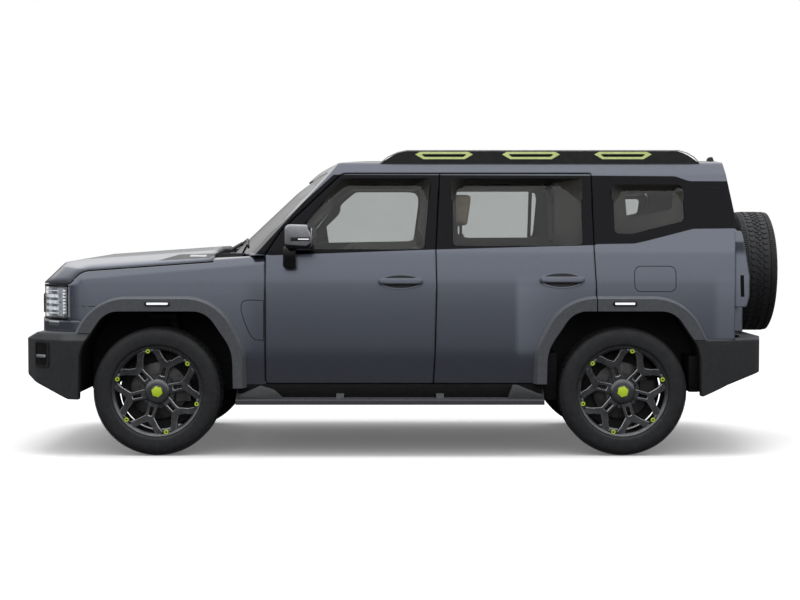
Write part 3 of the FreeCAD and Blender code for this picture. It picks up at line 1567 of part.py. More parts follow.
roof_rail = cut("roof_rail_left", prism("roof_rail", "side", [
    (behind(s.rail_front_station), s.roof_rail_foot_height),
    (behind(s.rail_nose_station), s.roof_rail_height, s.roof_rail_radius),
    (behind(s.rail_tail_station), s.roof_rail_height, s.roof_rail_radius),
    (behind(s.rail_rear_station), s.roof_rail_foot_height),
], -s.roof_rail_half_width, -s.roof_rail_half_width + s.roof_rail_width), cabin_skin)
node("roof_rails", group("roof_rails", roof_rail, mirrored("roof_rail_right", roof_rail)))

# Engine, as one plain block between the rails

node("engine", block("engine", (behind(s.engine_front_station), behind(s.engine_rear_station)),
                     (-rail_half[0] + s.seat_gap, rail_half[0] - s.seat_gap),
                     (s.engine_bottom_height, s.engine_top_height)))

# Interior

dash_rear = firewall + s.firewall_depth
dash_form = prism("dash_form", "side", [
    (dash_rear + s.seat_gap, s.dash_bottom_height),
    (dash_rear + s.dash_knee_depth, s.dash_bottom_height, s.dash_radius),
    (dash_rear + s.dash_depth, s.dash_face_height, s.dash_radius),
    (dash_rear + s.dash_depth - s.dash_radius, s.dash_brow_height, s.dash_radius / 2),
    (dash_rear + s.seat_gap, s.dash_top_height),
], -s.dash_half_width, s.dash_half_width)


def on_column(item):
    """Tilts a piece that was made flat about the steering wheel's middle, and sets it in place."""
    item.Placement = Placement(Vector(0, 0, 0), Rotation(Vector(0, 1, 0), value_of(s.column_tilt)))
    bind(item, Placement__Rotation__Angle=s.column_tilt)
    return bind(item, Placement__Base__x=behind(s.steering_station), Placement__Base__y=-s.seat_half_spacing,
                Placement__Base__z=s.steering_height)


column_top = s.steering_hub_depth + s.moving_gap
shaft_reach = s.steering_hub_depth + s.steering_shaft_length
column = on_column(cut(
    "steering_column",
    rod("column_tube", s.steering_hub_radius, "z", (0, 0, -s.steering_column_length),
        s.steering_column_length - column_top),
    rod("column_bore", s.steering_shaft_radius + s.moving_gap, "z",
        (0, 0, -shaft_reach - s.seat_gap), s.steering_shaft_length + s.overrun),
))
node("dashboard", fuse("dashboard", dash_form, column))
wheel_hub = rod("steering_hub", s.steering_hub_radius, "z", (0, 0, -s.steering_hub_depth),
                s.steering_hub_depth + s.steering_rim_radius)
steering_shaft = rod("steering_shaft", s.steering_shaft_radius, "z", (0, 0, -shaft_reach), shaft_reach)
steering_ring = cut("steering_ring", *[
    rod("steering_ring_edge", s.steering_radius + share * s.steering_rim_radius, "z",
        (0, 0, -s.steering_rim_radius), s.steering_rim_radius * 2)
    for share in (1, -1)
])
bar = block("steering_bar", (-s.steering_rim_radius, s.steering_rim_radius),
            (-s.steering_radius, s.steering_radius), (-s.steering_rim_radius / 2, s.steering_rim_radius / 2))
stem = block("steering_stem", (0, s.steering_radius),
             (-s.steering_rim_radius, s.steering_rim_radius),
             (-s.steering_rim_radius / 2, s.steering_rim_radius / 2))
node("steering_wheel", on_column(fuse("steering_wheel", wheel_hub, steering_shaft, steering_ring, bar, stem)))


def seat(name, front_x, width_low, width_high):
    """A seat's cushion, back and head rest, seen from the side, between two sides."""
    body = prism(f"{name}_body", "side", [
        (front_x, s.floor_height + s.seat_gap),
        (front_x - s.cushion_nose, s.cushion_height, s.cushion_radius),
        (front_x + s.cushion_length, s.cushion_height - s.cushion_sag, s.cushion_radius / 2),
        (front_x + s.cushion_length + s.back_lean, s.back_height, s.cushion_radius / 2),
        (front_x + s.cushion_length + s.back_lean + s.back_depth, s.back_height, s.cushion_radius / 2),
        (front_x + s.cushion_length + s.back_depth, s.floor_height + s.seat_gap),
    ], width_low, width_high)
    middle = (width_low + width_high) / 2
    rest_front = front_x + s.cushion_length + s.back_lean + s.head_rest_inset
    rest = prism(f"{name}_head_rest", "side", [
        (rest_front, s.back_height - s.cushion_sag),
        (rest_front, s.back_height + s.head_rest_height, s.head_rest_radius),
        (rest_front + s.head_rest_depth, s.back_height + s.head_rest_height, s.head_rest_radius),
        (rest_front + s.head_rest_depth - s.head_rest_radius, s.back_height - s.cushion_sag),
    ], middle - s.head_rest_half_width, middle + s.head_rest_half_width)
    return fuse(name, body, rest)


seat_front = behind(s.seat_front_station)
driver_seat = seat("driver_seat", seat_front,
                   -s.seat_half_spacing - s.seat_half_width, -s.seat_half_spacing + s.seat_half_width)
node("front_seats", group("front_seats", driver_seat, mirrored("passenger_seat", driver_seat)))
bench = prism("bench_body", "side", [
    (behind(s.bench_front_station), s.floor_height + s.seat_gap),
    (behind(s.bench_front_station) - s.cushion_nose, s.cushion_height, s.cushion_radius),
    (behind(s.bench_back_station), s.cushion_height - s.cushion_sag, s.cushion_radius / 2),
    (behind(s.bench_back_station) + s.bench_lean, s.bench_back_height, s.cushion_radius / 2),
    (behind(s.bench_back_station) + s.bench_lean + s.bench_depth, s.bench_back_height, s.cushion_radius / 2),
    (behind(s.bench_back_station) + s.bench_depth, s.floor_height + s.seat_gap),
], -s.bench_half_width, s.bench_half_width)
bench_rests = []
for sign in (-1, 1):
    rest_middle = sign * s.seat_half_spacing
    bench_rests.append(prism("bench_head_rest", "side", [
        (behind(s.bench_back_station) + s.bench_lean, s.bench_back_height - s.cushion_sag),
        (behind(s.bench_back_station) + s.bench_lean, s.bench_back_height + s.bench_rest_height,
         s.head_rest_radius / 2),
        (behind(s.bench_back_station) + s.bench_lean + s.bench_rest_depth,
         s.bench_back_height + s.bench_rest_height, s.head_rest_radius / 2),
        (behind(s.bench_back_station) + s.bench_lean + s.bench_rest_depth,
         s.bench_back_height - s.cushion_sag),
    ], rest_middle - s.head_rest_half_width, rest_middle + s.head_rest_half_width))
node("rear_seat", cut("rear_seat", fuse("rear_seat_form", bench, *bench_rests), tunnel))

# Wheels: a rim of forked spokes on a hub and brake disc, inside a barrel that carries the tyre


def plane_of(body, role):
    return next(item for item in body.Origin.OriginFeatures if item.Role == role)


def body_sketch(body, name, role, corners, at=None):
    """A sketch of one closed outline on one of the body's own planes."""
    sketch = body.newObject("Sketcher::SketchObject", name)
    sketch.AttachmentSupport = [(plane_of(body, role), "")]
    sketch.MapMode = "FlatFace"
    if at is not None:
        bind(sketch, AttachmentOffset__Base__z=at)
    return draw(sketch, corners)


def turned(body, name, corners):
    """Revolves a (sideways, radius) outline round the wheel's axle."""
    sketch = body_sketch(body, f"{name}_section", "YZ_Plane", corners)
    form = body.newObject("PartDesign::Revolution", name)
    form.Profile = sketch
    form.ReferenceAxis = (sketch, ["H_Axis"])
    bind(form, Angle=s.full_turn)
    body.Tip = form
    return form


def raised(body, name, corners, at, depth):
    """Pads a side outline outwards from a distance outboard of the wheel's middle."""
    sketch = body_sketch(body, f"{name}_outline", "XZ_Plane", corners, at=at)
    form = body.newObject("PartDesign::Pad", name)
    form.Profile = sketch
    bind(form, Length=depth)
    body.Tip = form
    return form


def repeated(body, name, form, count):
    pattern = body.newObject("PartDesign::PolarPattern", name)
    pattern.Originals = [form]
    pattern.Axis = (plane_of(body, "Y_Axis"), [""])
    bind(pattern, Angle=s.full_turn)
    pattern.Occurrences = count
    body.Tip = pattern
    return pattern


# Tyre and barrel are rings of flat facets, so that they seat on each other all round
# 48 sectors, joined first in threes and then in pairs
ring_growth = (3, 2, 2, 2, 2)
seat_radius = s.rim_diameter / 2 - s.rim_seat_depth
lip_inner = s.rim_lip_half_width - s.rim_lip_depth


def turned_copy(name, item, angle):
    """A copy of a piece, turned about the axle."""
    copy = group(name, item)
    copy.Placement = Placement(Vector(0, 0, 0), Rotation(Vector(0, -1, 0), value_of(angle)))
    return bind(copy, Placement__Rotation__Angle=angle)


def faceted_ring(name, half):
    """A ring round the axle, mitred from sectors of a section; half of its (sideways, radius) corners."""
    corners = half + [(-y, radius) for y, radius in reversed(half)]
    spread = math.tan(math.pi / SIZES["ring_side_count"])
    ring = common(f"{name}_sector", prism(f"{name}_bar", "section", corners, -s.overrun, s.overrun),
                  prism(f"{name}_mitre", "side", [
                      (0, 0),
                      (s.reach * spread, s.reach),
                      (-s.reach * spread, s.reach),
                  ], -s.reach, s.reach))
    step = s.full_turn / SIZES["ring_side_count"]
    done = 1
    for times in ring_growth:
        copies = [turned_copy(f"{name}_copy", ring, step * (done * k)) for k in range(1, times)]
        ring = fuse(f"{name}_arc", ring, *copies)
        done *= times
    return ring


def make_star(name):
    """Hub, disc, lugs and forked spokes, with one spoke along X."""
    rim = doc.addObject("PartDesign::Body", name)
    turned(rim, f"{name}_hub", [
        (-s.cap_offset - s.cap_height, 0),
        (-s.cap_offset - s.cap_height, s.cap_radius - s.cap_rim),
        (-s.cap_offset, s.cap_radius),
        (-s.hub_face_offset, s.cap_radius),
        (-s.hub_face_offset, s.hub_radius),
        (-s.disc_offset, s.hub_radius),
        (-s.disc_offset, s.disc_radius),
        (s.disc_thickness - s.disc_offset, s.disc_radius),
        (s.disc_thickness - s.disc_offset, 0),
    ])
    lug = raised(rim, f"{name}_lug", [
        (s.lug_circle_radius - s.lug_radius, -s.lug_radius, s.lug_corner_radius),
        (s.lug_circle_radius + s.lug_radius, -s.lug_radius, s.lug_corner_radius),
        (s.lug_circle_radius + s.lug_radius, s.lug_radius, s.lug_corner_radius),
        (s.lug_circle_radius - s.lug_radius, s.lug_radius, s.lug_corner_radius),
    ], s.hub_face_offset - s.overrun / 2, s.lug_height + s.overrun / 2)
    repeated(rim, f"{name}_lugs", lug, SIZES["spoke_count"])
    half_spoke = [
        (s.cap_radius - s.cap_rim, s.spoke_root_half_width),
        (s.spoke_neck_radius, s.spoke_neck_half_width),
        (s.spoke_elbow_radius, s.spoke_elbow_half_width),
        (s.spoke_shoulder_radius, s.spoke_spread_half_width),
        (s.spoke_tip_radius, s.spoke_gap_half_width),
        (s.spoke_fork_radius, s.spoke_fork_half_width),
    ]
    spoke = raised(rim, f"{name}_spoke",
                   [(c[0], -c[1]) for c in half_spoke] + [(s.spoke_notch_radius, 0)] + half_spoke[::-1],
                   s.spoke_face_offset - s.spoke_depth, s.spoke_depth)
    draw(spoke.Profile[0], [
        (s.slot_inner_radius, -s.slot_half_width),
        (s.slot_outer_radius, -s.slot_half_width),
        (s.slot_outer_radius, s.slot_half_width),
        (s.slot_inner_radius, s.slot_half_width),
    ])
    repeated(rim, f"{name}_spokes", spoke, SIZES["spoke_count"])
    return rim


star = make_star("star")
barrel = faceted_ring("barrel", [
    (s.rim_lip_half_width, seat_radius - s.rim_wall),
    (s.rim_lip_half_width, s.rim_diameter / 2),
    (lip_inner, s.rim_diameter / 2),
    (lip_inner - s.rim_lip_slope, seat_radius),
])
bead = lip_inner - s.seat_gap
lip_room = s.rim_diameter / 2 + s.seat_gap
tyre_form = faceted_ring("tyre_form", [
    (bead - s.rim_lip_slope, seat_radius + s.seat_gap),
    (bead, lip_room),
    (s.tyre_bead_half_width, lip_room),
    (s.tyre_width / 2, s.tyre_wall_radius),
    (s.tyre_shoulder_half_width, s.tyre_shoulder_radius),
    (s.tyre_tread_half_width, s.tyre_diameter / 2),
])


def stand(item, x, y, z, axis, angle):
    """Turns a wheel's piece about an axis, then sets its middle in place."""
    item.Placement = Placement(Vector(0, 0, 0), Rotation(axis, value_of(angle)))
    bind(item, Placement__Rotation__Angle=angle)
    return bind(item, Placement__Base__x=x, Placement__Base__y=y, Placement__Base__z=z)


rims = {}
for place, turn in (("front", s.wheel_turn_front), ("rear", s.wheel_turn_rear), ("spare", s.no_turn)):
    rims[place] = fuse(f"{place}_rim_form", turned_copy(f"{place}_star", star, turn), barrel)
for place, axle in (("front", front_axle), ("rear", rear_axle)):
    for kind, form in (("tyre", tyre_form), ("rim", rims[place])):
        piece = stand(group(f"{kind}_{place}", form), axle, -centre_half_track, axle_height,
                      Vector(0, -1, 0), s.no_turn)
        both_sides(f"{kind}_{place}", piece)
spare_middle = rear - s.tyre_width / 2
for kind, form in (("tyre", tyre_form), ("rim", rims["spare"])):
    node(f"spare_{kind}", stand(group(f"spare_{kind}", form), spare_middle, 0, s.spare_height,
                                Vector(0, 0, 1), s.quarter_turn))

# The carrier that holds the spare off the tailgate, seated against the rim's disc
carrier_end = spare_middle - s.disc_thickness + s.disc_offset - s.seat_gap
node("spare_carrier", cut("spare_carrier", fuse(
    "carrier_form",
    rod("carrier_tube", s.spare_carrier_radius, "x",
        (behind(s.tailgate_belt_station) - s.overrun, 0, s.spare_height),
        carrier_end - behind(s.tailgate_belt_station) + s.overrun),
    block("carrier_plate",
          (behind(s.tailgate_belt_station), behind(s.tailgate_bulge_station) + s.carrier_plate_depth),
          (-s.carrier_plate_half_width, s.carrier_plate_half_width),
          (s.spare_height - s.carrier_plate_half_width, s.spare_height + s.carrier_plate_half_width)),
), tailgate_profile))

# Front suspension: arms, dampers and half shafts on a crossmember; the knuckles turn between the arms

kingpin = s.kingpin_half_width
lower_arm = (s.lower_arm_height - s.arm_depth, s.lower_arm_height)
upper_arm = (s.upper_arm_height, s.upper_arm_height + s.arm_depth)
frame_half = s.crossmember_half_width


def suspension_side(place, axle, upper, spring_y, spring_top):
    """One side's arms, spring and half shaft, on the left."""
    arm = prism(f"{place}_lower_arm", "plan", [
        (axle - s.arm_root_half_width, -frame_half + s.overrun),
        (axle + s.arm_root_half_width, -frame_half + s.overrun),
        (axle + s.arm_tip_half_width, -kingpin - s.arm_tip_half_width, s.arm_tip_radius),
        (axle - s.arm_tip_half_width, -kingpin - s.arm_tip_half_width, s.arm_tip_radius),
    ], *lower_arm)
    link = prism(f"{place}_upper_arm", "plan", [
        (axle - s.upper_arm_half_width, -frame_half),
        (axle + s.upper_arm_half_width, -frame_half),
        (axle + s.upper_arm_half_width, -kingpin - s.arm_tip_half_width, s.upper_arm_half_width / 2),
        (axle - s.upper_arm_half_width, -kingpin - s.arm_tip_half_width, s.upper_arm_half_width / 2),
    ], *upper)
    post = block(f"{place}_arm_post", (axle - s.upper_arm_half_width, axle + s.upper_arm_half_width),
                 (-frame_half, -frame_half + s.post_width - s.seat_gap), (s.lower_arm_height, upper[1]))
    spring = rod(f"{place}_spring", s.spring_radius, "z", (axle + s.spring_offset, -spring_y, lower_arm[0]),
                 spring_top - lower_arm[0])
    shaft = rod(f"{place}_half_shaft", s.half_shaft_radius, "y",
                (axle, -s.knuckle_inner_half_width + s.half_shaft_gap, axle_height),
                s.knuckle_inner_half_width - s.half_shaft_gap)
    return [arm, link, post, spring, shaft]


def crossmember(place, axle):
    return [
        block(f"{place}_crossmember", (axle - s.crossmember_half_length, axle + s.crossmember_half_length),
              (-frame_half, frame_half), (lower_arm[0], s.crossmember_height)),
        rod(f"{place}_differential", s.differential_radius, "y",
            (axle, -s.differential_half_width, axle_height), s.differential_half_width * 2),
    ]


front_side = fuse("front_arms", *suspension_side("front", front_axle, upper_arm, s.front_spring_half_width,
                                                 s.tower_height - s.floor_depth - s.seat_gap))
node("front_suspension", fuse("front_suspension", front_side, mirrored("front_arms_right", front_side),
                              *crossmember("front", front_axle)))

knuckle_face = centre_half_track - s.disc_thickness + s.disc_offset - s.seat_gap
hub_carrier_length = knuckle_face - s.knuckle_inner_half_width


def hub_carrier(name, axle, low, high):
    """The upright that carries a left wheel's hub, with the brake caliper over the disc's rear."""
    bearing = rod(f"{name}_bearing", s.bearing_radius, "y", (axle, -knuckle_face, axle_height),
                  hub_carrier_length)
    upright = prism(f"{name}_upright", "side", [
        (axle - s.upright_half_width, low),
        (axle + s.upright_half_width, low),
        (axle + s.upright_waist_half_width, axle_height),
        (axle + s.upright_half_width, high),
        (axle - s.upright_half_width, high),
        (axle - s.upright_waist_half_width, axle_height),
    ], -s.upright_outer_half_width, -s.knuckle_inner_half_width)
    caliper_front = axle + s.caliper_offset
    outboard = centre_half_track + s.disc_offset + s.disc_gap
    inboard = centre_half_track + s.disc_offset - s.disc_thickness - s.disc_gap
    caliper = cut(
        f"{name}_caliper",
        block(f"{name}_caliper_form", (caliper_front, caliper_front + s.caliper_length),
              (-outboard - s.caliper_wall, -inboard + s.caliper_wall),
              (axle_height - s.caliper_half_height, axle_height + s.caliper_half_height)),
        rod(f"{name}_caliper_slot", s.disc_radius + s.disc_gap, "y", (axle, -outboard, axle_height),
            outboard - inboard),
    )
    ear = block(f"{name}_caliper_ear", (axle, caliper_front + s.caliper_length),
                (-s.upright_outer_half_width, -s.upright_outer_half_width + s.ear_depth),
                (axle_height - s.ear_half_height, axle_height + s.ear_half_height))
    bridge = block(f"{name}_caliper_bridge",
                   (axle + s.disc_radius + s.disc_gap - s.ear_depth, caliper_front + s.caliper_length),
                   (-inboard, -s.upright_outer_half_width + s.ear_depth),
                   (axle_height - s.ear_half_height, axle_height + s.ear_half_height))
    return fuse(name, bearing, upright, caliper, ear, bridge)


both_sides("knuckle", hub_carrier("knuckle_left", front_axle, s.lower_arm_height + s.seat_gap,
                                  s.upper_arm_height - s.seat_gap))

rear_upper = (s.rear_upper_arm_height, s.rear_upper_arm_height + s.arm_depth)
rear_side = fuse(
    "rear_arms",
    *suspension_side("rear", rear_axle, rear_upper, s.rear_spring_half_width, floor_low - s.seat_gap),
    hub_carrier("rear_upright", rear_axle, lower_arm[0], rear_upper[1]),
)
node("rear_suspension", fuse("rear_suspension", rear_side, mirrored("rear_arms_right", rear_side),
                             *crossmember("rear", rear_axle)))

# Fuel tank, and an exhaust that ends ahead of the rear wheel

node("fuel_tank", prism("fuel_tank", "section", [
    (-s.tank_outer_half_width, floor_low - s.seat_gap),
    (-s.tank_outer_half_width, floor_low - s.tank_depth, s.tank_radius),
    (-s.tunnel_half_width, floor_low - s.tank_depth, s.tank_radius),
    (-s.tunnel_half_width, floor_low - s.seat_gap),
], behind(s.tank_front_station), behind(s.tank_rear_station)))
pipe_height = floor_low - s.muffler_radius
muffler_front = behind(s.muffler_front_station)
node("exhaust", fuse(
    "exhaust",
    rod("exhaust_pipe", s.pipe_radius, "x", (firewall, s.pipe_half_width, pipe_height),
        muffler_front - firewall),
    rod("exhaust_muffler", s.muffler_radius - s.seat_gap, "x",
        (muffler_front, s.pipe_half_width, pipe_height), s.muffler_length),
    rod("exhaust_outlet", s.pipe_radius, "y",
        (muffler_front + s.muffler_length - s.muffler_radius, s.pipe_half_width, pipe_height),
        s.outlet_half_width - s.pipe_half_width),
))

# Door mirrors on feet below the window

mirror_shell = prism("mirror_shell", "side", [
    (behind(s.mirror_front_station), s.mirror_bottom_height, s.mirror_radius),
    (behind(s.mirror_rear_station), s.mirror_bottom_height, s.mirror_radius),
    (behind(s.mirror_rear_station), s.mirror_shoulder_height, s.mirror_radius),
    (behind(s.mirror_crown_station), s.mirror_top_height, s.mirror_radius),
    (behind(s.mirror_front_station) - s.mirror_rake, s.mirror_brow_height, s.mirror_radius),
], -s.mirror_outer_half_width, -s.mirror_inner_half_width)
mirror_foot = prism("mirror_foot", "side", [
    (behind(s.mirror_foot_front_station), s.mirror_foot_height),
    (behind(s.mirror_foot_rear_station), s.mirror_foot_height),
    (behind(s.mirror_foot_rear_station), s.mirror_bottom_height + s.mirror_radius),
    (behind(s.mirror_foot_front_station), s.mirror_bottom_height + s.mirror_radius),
], -s.mirror_inner_half_width - s.mirror_foot_width, 0)
both_sides("mirror", cut("mirror_left", fuse("mirror_form", mirror_shell, mirror_foot), cabin_skin))

doc.recompute()


def finish():
    """Stops on a failed object, then writes each node's solid to its own file."""
    for item in doc.Objects:
        if any(word in str(item.State) for word in ("Invalid", "Error")):
            raise RuntimeError(f"{item.Label} failed: {item.State}")
    for label, item in NODES.items():
        if item.Shape.isNull() or not item.Shape.isValid():
            raise RuntimeError(f"{label} has no valid shape")
        if item.Label != label:
            raise RuntimeError(f"{item.Label} should be labelled {label}")
    os.makedirs("parts", exist_ok=True)
    for label, item in NODES.items():
        item.Shape.exportStep(f"parts/{label}.step")
        print(label, len(item.Shape.Solids), "solid(s)", round(item.Shape.Volume / 1e6, 2), "litres")


finish()
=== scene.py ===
# %% [markdown]
# # Dressing a lifted off-road vehicle
# The CAD model gives every panel its place. This lesson adds what CAD leaves out: paint, rubber,
# glass, tread, lamps and leather. Lengths are in metres. X runs rearwards, Y to the vehicle's
# right and Z up, so the side that the camera sees faces minus Y.

# %% Load the frame
import math

import bmesh
import bpy
from mathutils import Matrix, Vector
from mathutils.bvhtree import BVHTree


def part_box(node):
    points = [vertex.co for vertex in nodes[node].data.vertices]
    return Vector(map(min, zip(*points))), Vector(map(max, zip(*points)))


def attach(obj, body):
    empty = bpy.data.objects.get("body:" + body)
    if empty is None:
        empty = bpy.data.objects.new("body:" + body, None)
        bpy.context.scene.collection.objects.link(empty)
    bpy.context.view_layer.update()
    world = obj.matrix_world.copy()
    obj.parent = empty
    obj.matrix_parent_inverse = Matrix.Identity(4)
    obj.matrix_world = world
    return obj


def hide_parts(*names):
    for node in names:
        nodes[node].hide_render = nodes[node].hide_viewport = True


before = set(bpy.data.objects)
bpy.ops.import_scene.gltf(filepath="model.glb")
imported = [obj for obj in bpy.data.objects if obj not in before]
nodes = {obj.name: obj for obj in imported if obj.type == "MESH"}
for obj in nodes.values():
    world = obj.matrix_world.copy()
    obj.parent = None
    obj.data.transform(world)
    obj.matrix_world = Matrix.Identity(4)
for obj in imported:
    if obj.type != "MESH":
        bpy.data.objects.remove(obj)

ops = bmesh.ops
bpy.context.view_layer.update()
scene = bpy.context.scene

# %% [markdown]
# ## Camera
# The photograph looks square on at the left side from about eleven metres, a little above the
# door handles. A long lens keeps the far wheels almost the size of the near ones. The height and
# the tilt come from where the far wheels show under the floor.

# %% Place the camera
camera = bpy.data.objects.new("camera", bpy.data.cameras.new("camera"))
scene.collection.objects.link(camera)
camera.location = (-0.0445, -10.956, 1.3)
camera.rotation_euler = (math.radians(90 - 2.068), 0, 0)
camera.data.sensor_width = 36.0
camera.data.lens = 75.38
scene.camera = camera
print("camera lens", camera.data.lens, "mm")

# %% [markdown]
# ## Studio light
# A car studio is a white room with a wide soft light overhead and less light from the sides, so
# upward surfaces shine and the lower doors go dark. A world shader does that with one ramp on the
# height of each ray. The camera itself sees plain white.

# %% Make the world
def fill(socket, value):
    """Gives an input of a node a number, a colour or a link."""
    if isinstance(value, bpy.types.NodeSocket):
        socket.id_data.links.new(value, socket)
    else:
        socket.default_value = (*value, 1) if isinstance(value, tuple) else value


def add_node(tree, kind, *values, **named):
    """A shader node; names in small letters are its settings, the others its inputs."""
    node = tree.nodes.new("ShaderNode" + kind)
    for name in [name for name in named if name.islower()]:
        setattr(node, name, named.pop(name))
    for place, value in enumerate(values):
        fill(node.inputs[place], value)
    for name, value in named.items():
        fill(node.inputs[name.replace("_", " ")], value)
    return node


def math_node(operation, *values):
    tree = next(value.id_data for value in values if isinstance(value, bpy.types.NodeSocket))
    return add_node(tree, "Math", *values, operation=operation).outputs[0]


def times(first, second):
    return math_node("MULTIPLY", first, second)


def scaled(value, factor, offset):
    return math_node("MULTIPLY_ADD", value, factor, offset)


def ramp_node(factor, *stops):
    """A ramp of greys through (place, grey) stops."""
    node = add_node(factor.id_data, "ValToRGB", factor)
    ramp = node.color_ramp.elements
    while len(ramp) < len(stops):
        ramp.new(0.5)
    for stop, (place, grey) in zip(ramp, stops):
        stop.position = place
        stop.color = (grey, grey, grey, 1)
    return node.outputs[0]


def mix_colours(factor, first, second):
    node = add_node(factor.id_data, "Mix", data_type="RGBA", Factor=factor, A=first, B=second)
    return node.outputs["Result"]


def parts_of(vector):
    """The X, Y and Z of a vector."""
    return add_node(vector.id_data, "SeparateXYZ", vector).outputs


def seen_directly(tree):
    """One for the camera, also through glass, and zero for light and reflections."""
    path = add_node(tree, "LightPath").outputs
    return math_node("MAXIMUM", path["Is Camera Ray"], path["Is Transmission Ray"])


scene.view_settings.view_transform = "Standard"
scene.world = bpy.data.worlds.new("studio")
scene.world.use_nodes = True
sky = scene.world.node_tree
direction = parts_of(add_node(sky, "TexCoord").outputs["Generated"])
height = scaled(direction["Z"], 0.5, 0.5)
studio = ramp_node(
    height, (0.0, 0.04), (0.47, 0.06), (0.51, 0.14), (0.57, 0.45), (0.66, 1.0), (1.0, 1.25))
fill(sky.nodes["Background"].inputs["Color"], mix_colours(seen_directly(sky), studio, (1, 1, 1)))
print("world ramp made")

# %% Hang the soft light overhead
lamp_data = bpy.data.lights.new("ceiling_light", "AREA")
lamp_data.shape = "RECTANGLE"
lamp_data.size = 7.0
lamp_data.size_y = 3.4
lamp_data.energy = 240
ceiling_light = bpy.data.objects.new("ceiling_light", lamp_data)
ceiling_light.location = (0, -0.4, 4.6)
ceiling_light.visible_glossy = False
scene.collection.objects.link(ceiling_light)
print("ceiling light", lamp_data.energy, "W")

# %% [markdown]
# ## Floor
# The floor is white paper that keeps the vehicle's shadow. Its own light shows only to the
# camera, so it lifts the paper to white without lighting the vehicle from below.

# %% Lay the floor
def surface(material):
    """The inputs of a material's shader."""
    return material.node_tree.nodes["Principled BSDF"].inputs


def dress(material, **sockets):
    """Fills inputs of a material's shader; an underscore stands for a space."""
    for name, value in sockets.items():
        fill(surface(material)[name.replace("_", " ")], value)
    return material


def new_material(name, colour, roughness, metallic=0.0, **sockets):
    material = bpy.data.materials.new(name)
    material.use_nodes = True
    return dress(material, Base_Color=colour, Roughness=roughness, Metallic=metallic, **sockets)


floor_mesh = bmesh.new()
ops.create_grid(floor_mesh, x_segments=1, y_segments=1, size=60)
floor = bpy.data.objects.new("floor", bpy.data.meshes.new("floor"))
floor_mesh.to_mesh(floor.data)
floor_mesh.free()
scene.collection.objects.link(floor)
paper = new_material(
    "paper", (0.86, 0.86, 0.86), 1.0, Specular_IOR_Level=0.0, Emission_Color=(1, 1, 1))
seen = seen_directly(paper.node_tree)
dress(paper, Base_Color=scaled(seen, 0.8, 0.06), Emission_Strength=times(seen, 0.12))
floor.data.materials.append(paper)
print("floor laid at z = 0")

# %% [markdown]
# ## Finishes
# Each finish starts from Principled and gets its variation from noise on Object coordinates, at
# the scale of the real surface: flakes of a millimetre in the paint, a fine leather-like grain in
# the moulded plastic, cloudy wear in the metals.

# %% Helpers for a finish
def object_place(tree):
    return add_node(tree, "TexCoord").outputs["Object"]


def noise_on(material, scale, detail=2.0):
    tree = material.node_tree
    noise = add_node(tree, "TexNoise", Vector=object_place(tree), Scale=scale, Detail=detail)
    return noise.outputs["Fac"]


def speckle(material, scale, dark, light):
    """Colour that wanders between two shades."""
    factor = ramp_node(noise_on(material, scale), (0.3, 0.0), (0.7, 1.0))
    dress(material, Base_Color=mix_colours(factor, dark, light))


def finish(name, dark, light, scale, roughness, bump=None, **sockets):
    """A wandering colour and roughness, and a bump given as its strength and its scale."""
    material = new_material(name, light, sum(roughness) / 2, **sockets)
    tree = material.node_tree
    speckle(material, scale, dark, light)
    cloudy = add_node(
        tree, "MapRange", Value=noise_on(material, scale * 0.5, 3.0), From_Min=0.3, From_Max=0.7,
        To_Min=roughness[0], To_Max=roughness[1])
    dress(material, Roughness=cloudy.outputs["Result"])
    if bump:
        strength, size = bump
        grain = noise_on(material, size)
        relief = add_node(tree, "Bump", Strength=strength, Distance=0.0005, Height=grain)
        dress(material, Normal=relief.outputs["Normal"])
    return material


# %% Make the plain finishes
moulded = finish(
    "moulded_black", (0.017, 0.018, 0.02), (0.026, 0.027, 0.031), 60, (0.5, 0.62),
    bump=(0.35, 700))
gloss_black = finish("gloss_black", (0.006, 0.006, 0.008), (0.01, 0.01, 0.012), 8, (0.1, 0.16))
satin_black = finish(
    "satin_black", (0.01, 0.01, 0.012), (0.018, 0.018, 0.02), 30, (0.34, 0.44), bump=(0.15, 900))
rubber = finish(
    "tyre_rubber", (0.014, 0.0145, 0.0165), (0.025, 0.026, 0.03), 40, (0.52, 0.66),
    bump=(0.3, 500))
graphite = finish(
    "graphite_rim", (0.13, 0.132, 0.142), (0.18, 0.183, 0.196), 25, (0.24, 0.34), metallic=0.9,
    bump=(0.05, 900))
# Painted highlight: a paler metal for the rims' chamfers, where the edges catch the light.
rim_edge_highlight = finish(
    "rim_edge_highlight_metal", (0.46, 0.465, 0.48), (0.56, 0.565, 0.58), 25, (0.22, 0.3), metallic=0.9)
cast_iron = finish(
    "cast_iron", (0.07, 0.07, 0.072), (0.15, 0.15, 0.152), 18, (0.38, 0.55), metallic=0.9,
    bump=(0.2, 300))
flare_grey = finish(
    "flare_grey", (0.088, 0.093, 0.105), (0.112, 0.118, 0.132), 60, (0.36, 0.46), bump=(0.25, 700))
chassis_black = finish(
    "chassis_coating", (0.012, 0.012, 0.013), (0.022, 0.022, 0.023), 12, (0.55, 0.75),
    bump=(0.3, 240))
step_grey = finish(
    "step_grey", (0.048, 0.05, 0.055), (0.068, 0.07, 0.077), 60, (0.45, 0.56), bump=(0.3, 600))
cast_aluminium = finish(
    "cast_aluminium", (0.3, 0.3, 0.31), (0.42, 0.42, 0.43), 14, (0.4, 0.55), metallic=0.9,
    bump=(0.2, 260))
steel = finish(
    "exhaust_steel", (0.2, 0.19, 0.18), (0.36, 0.35, 0.34), 9, (0.3, 0.45), metallic=1.0,
    bump=(0.1, 200))
chrome = finish(
    "bright_chrome", (0.72, 0.73, 0.75), (0.8, 0.81, 0.83), 10, (0.06, 0.12), metallic=1.0)
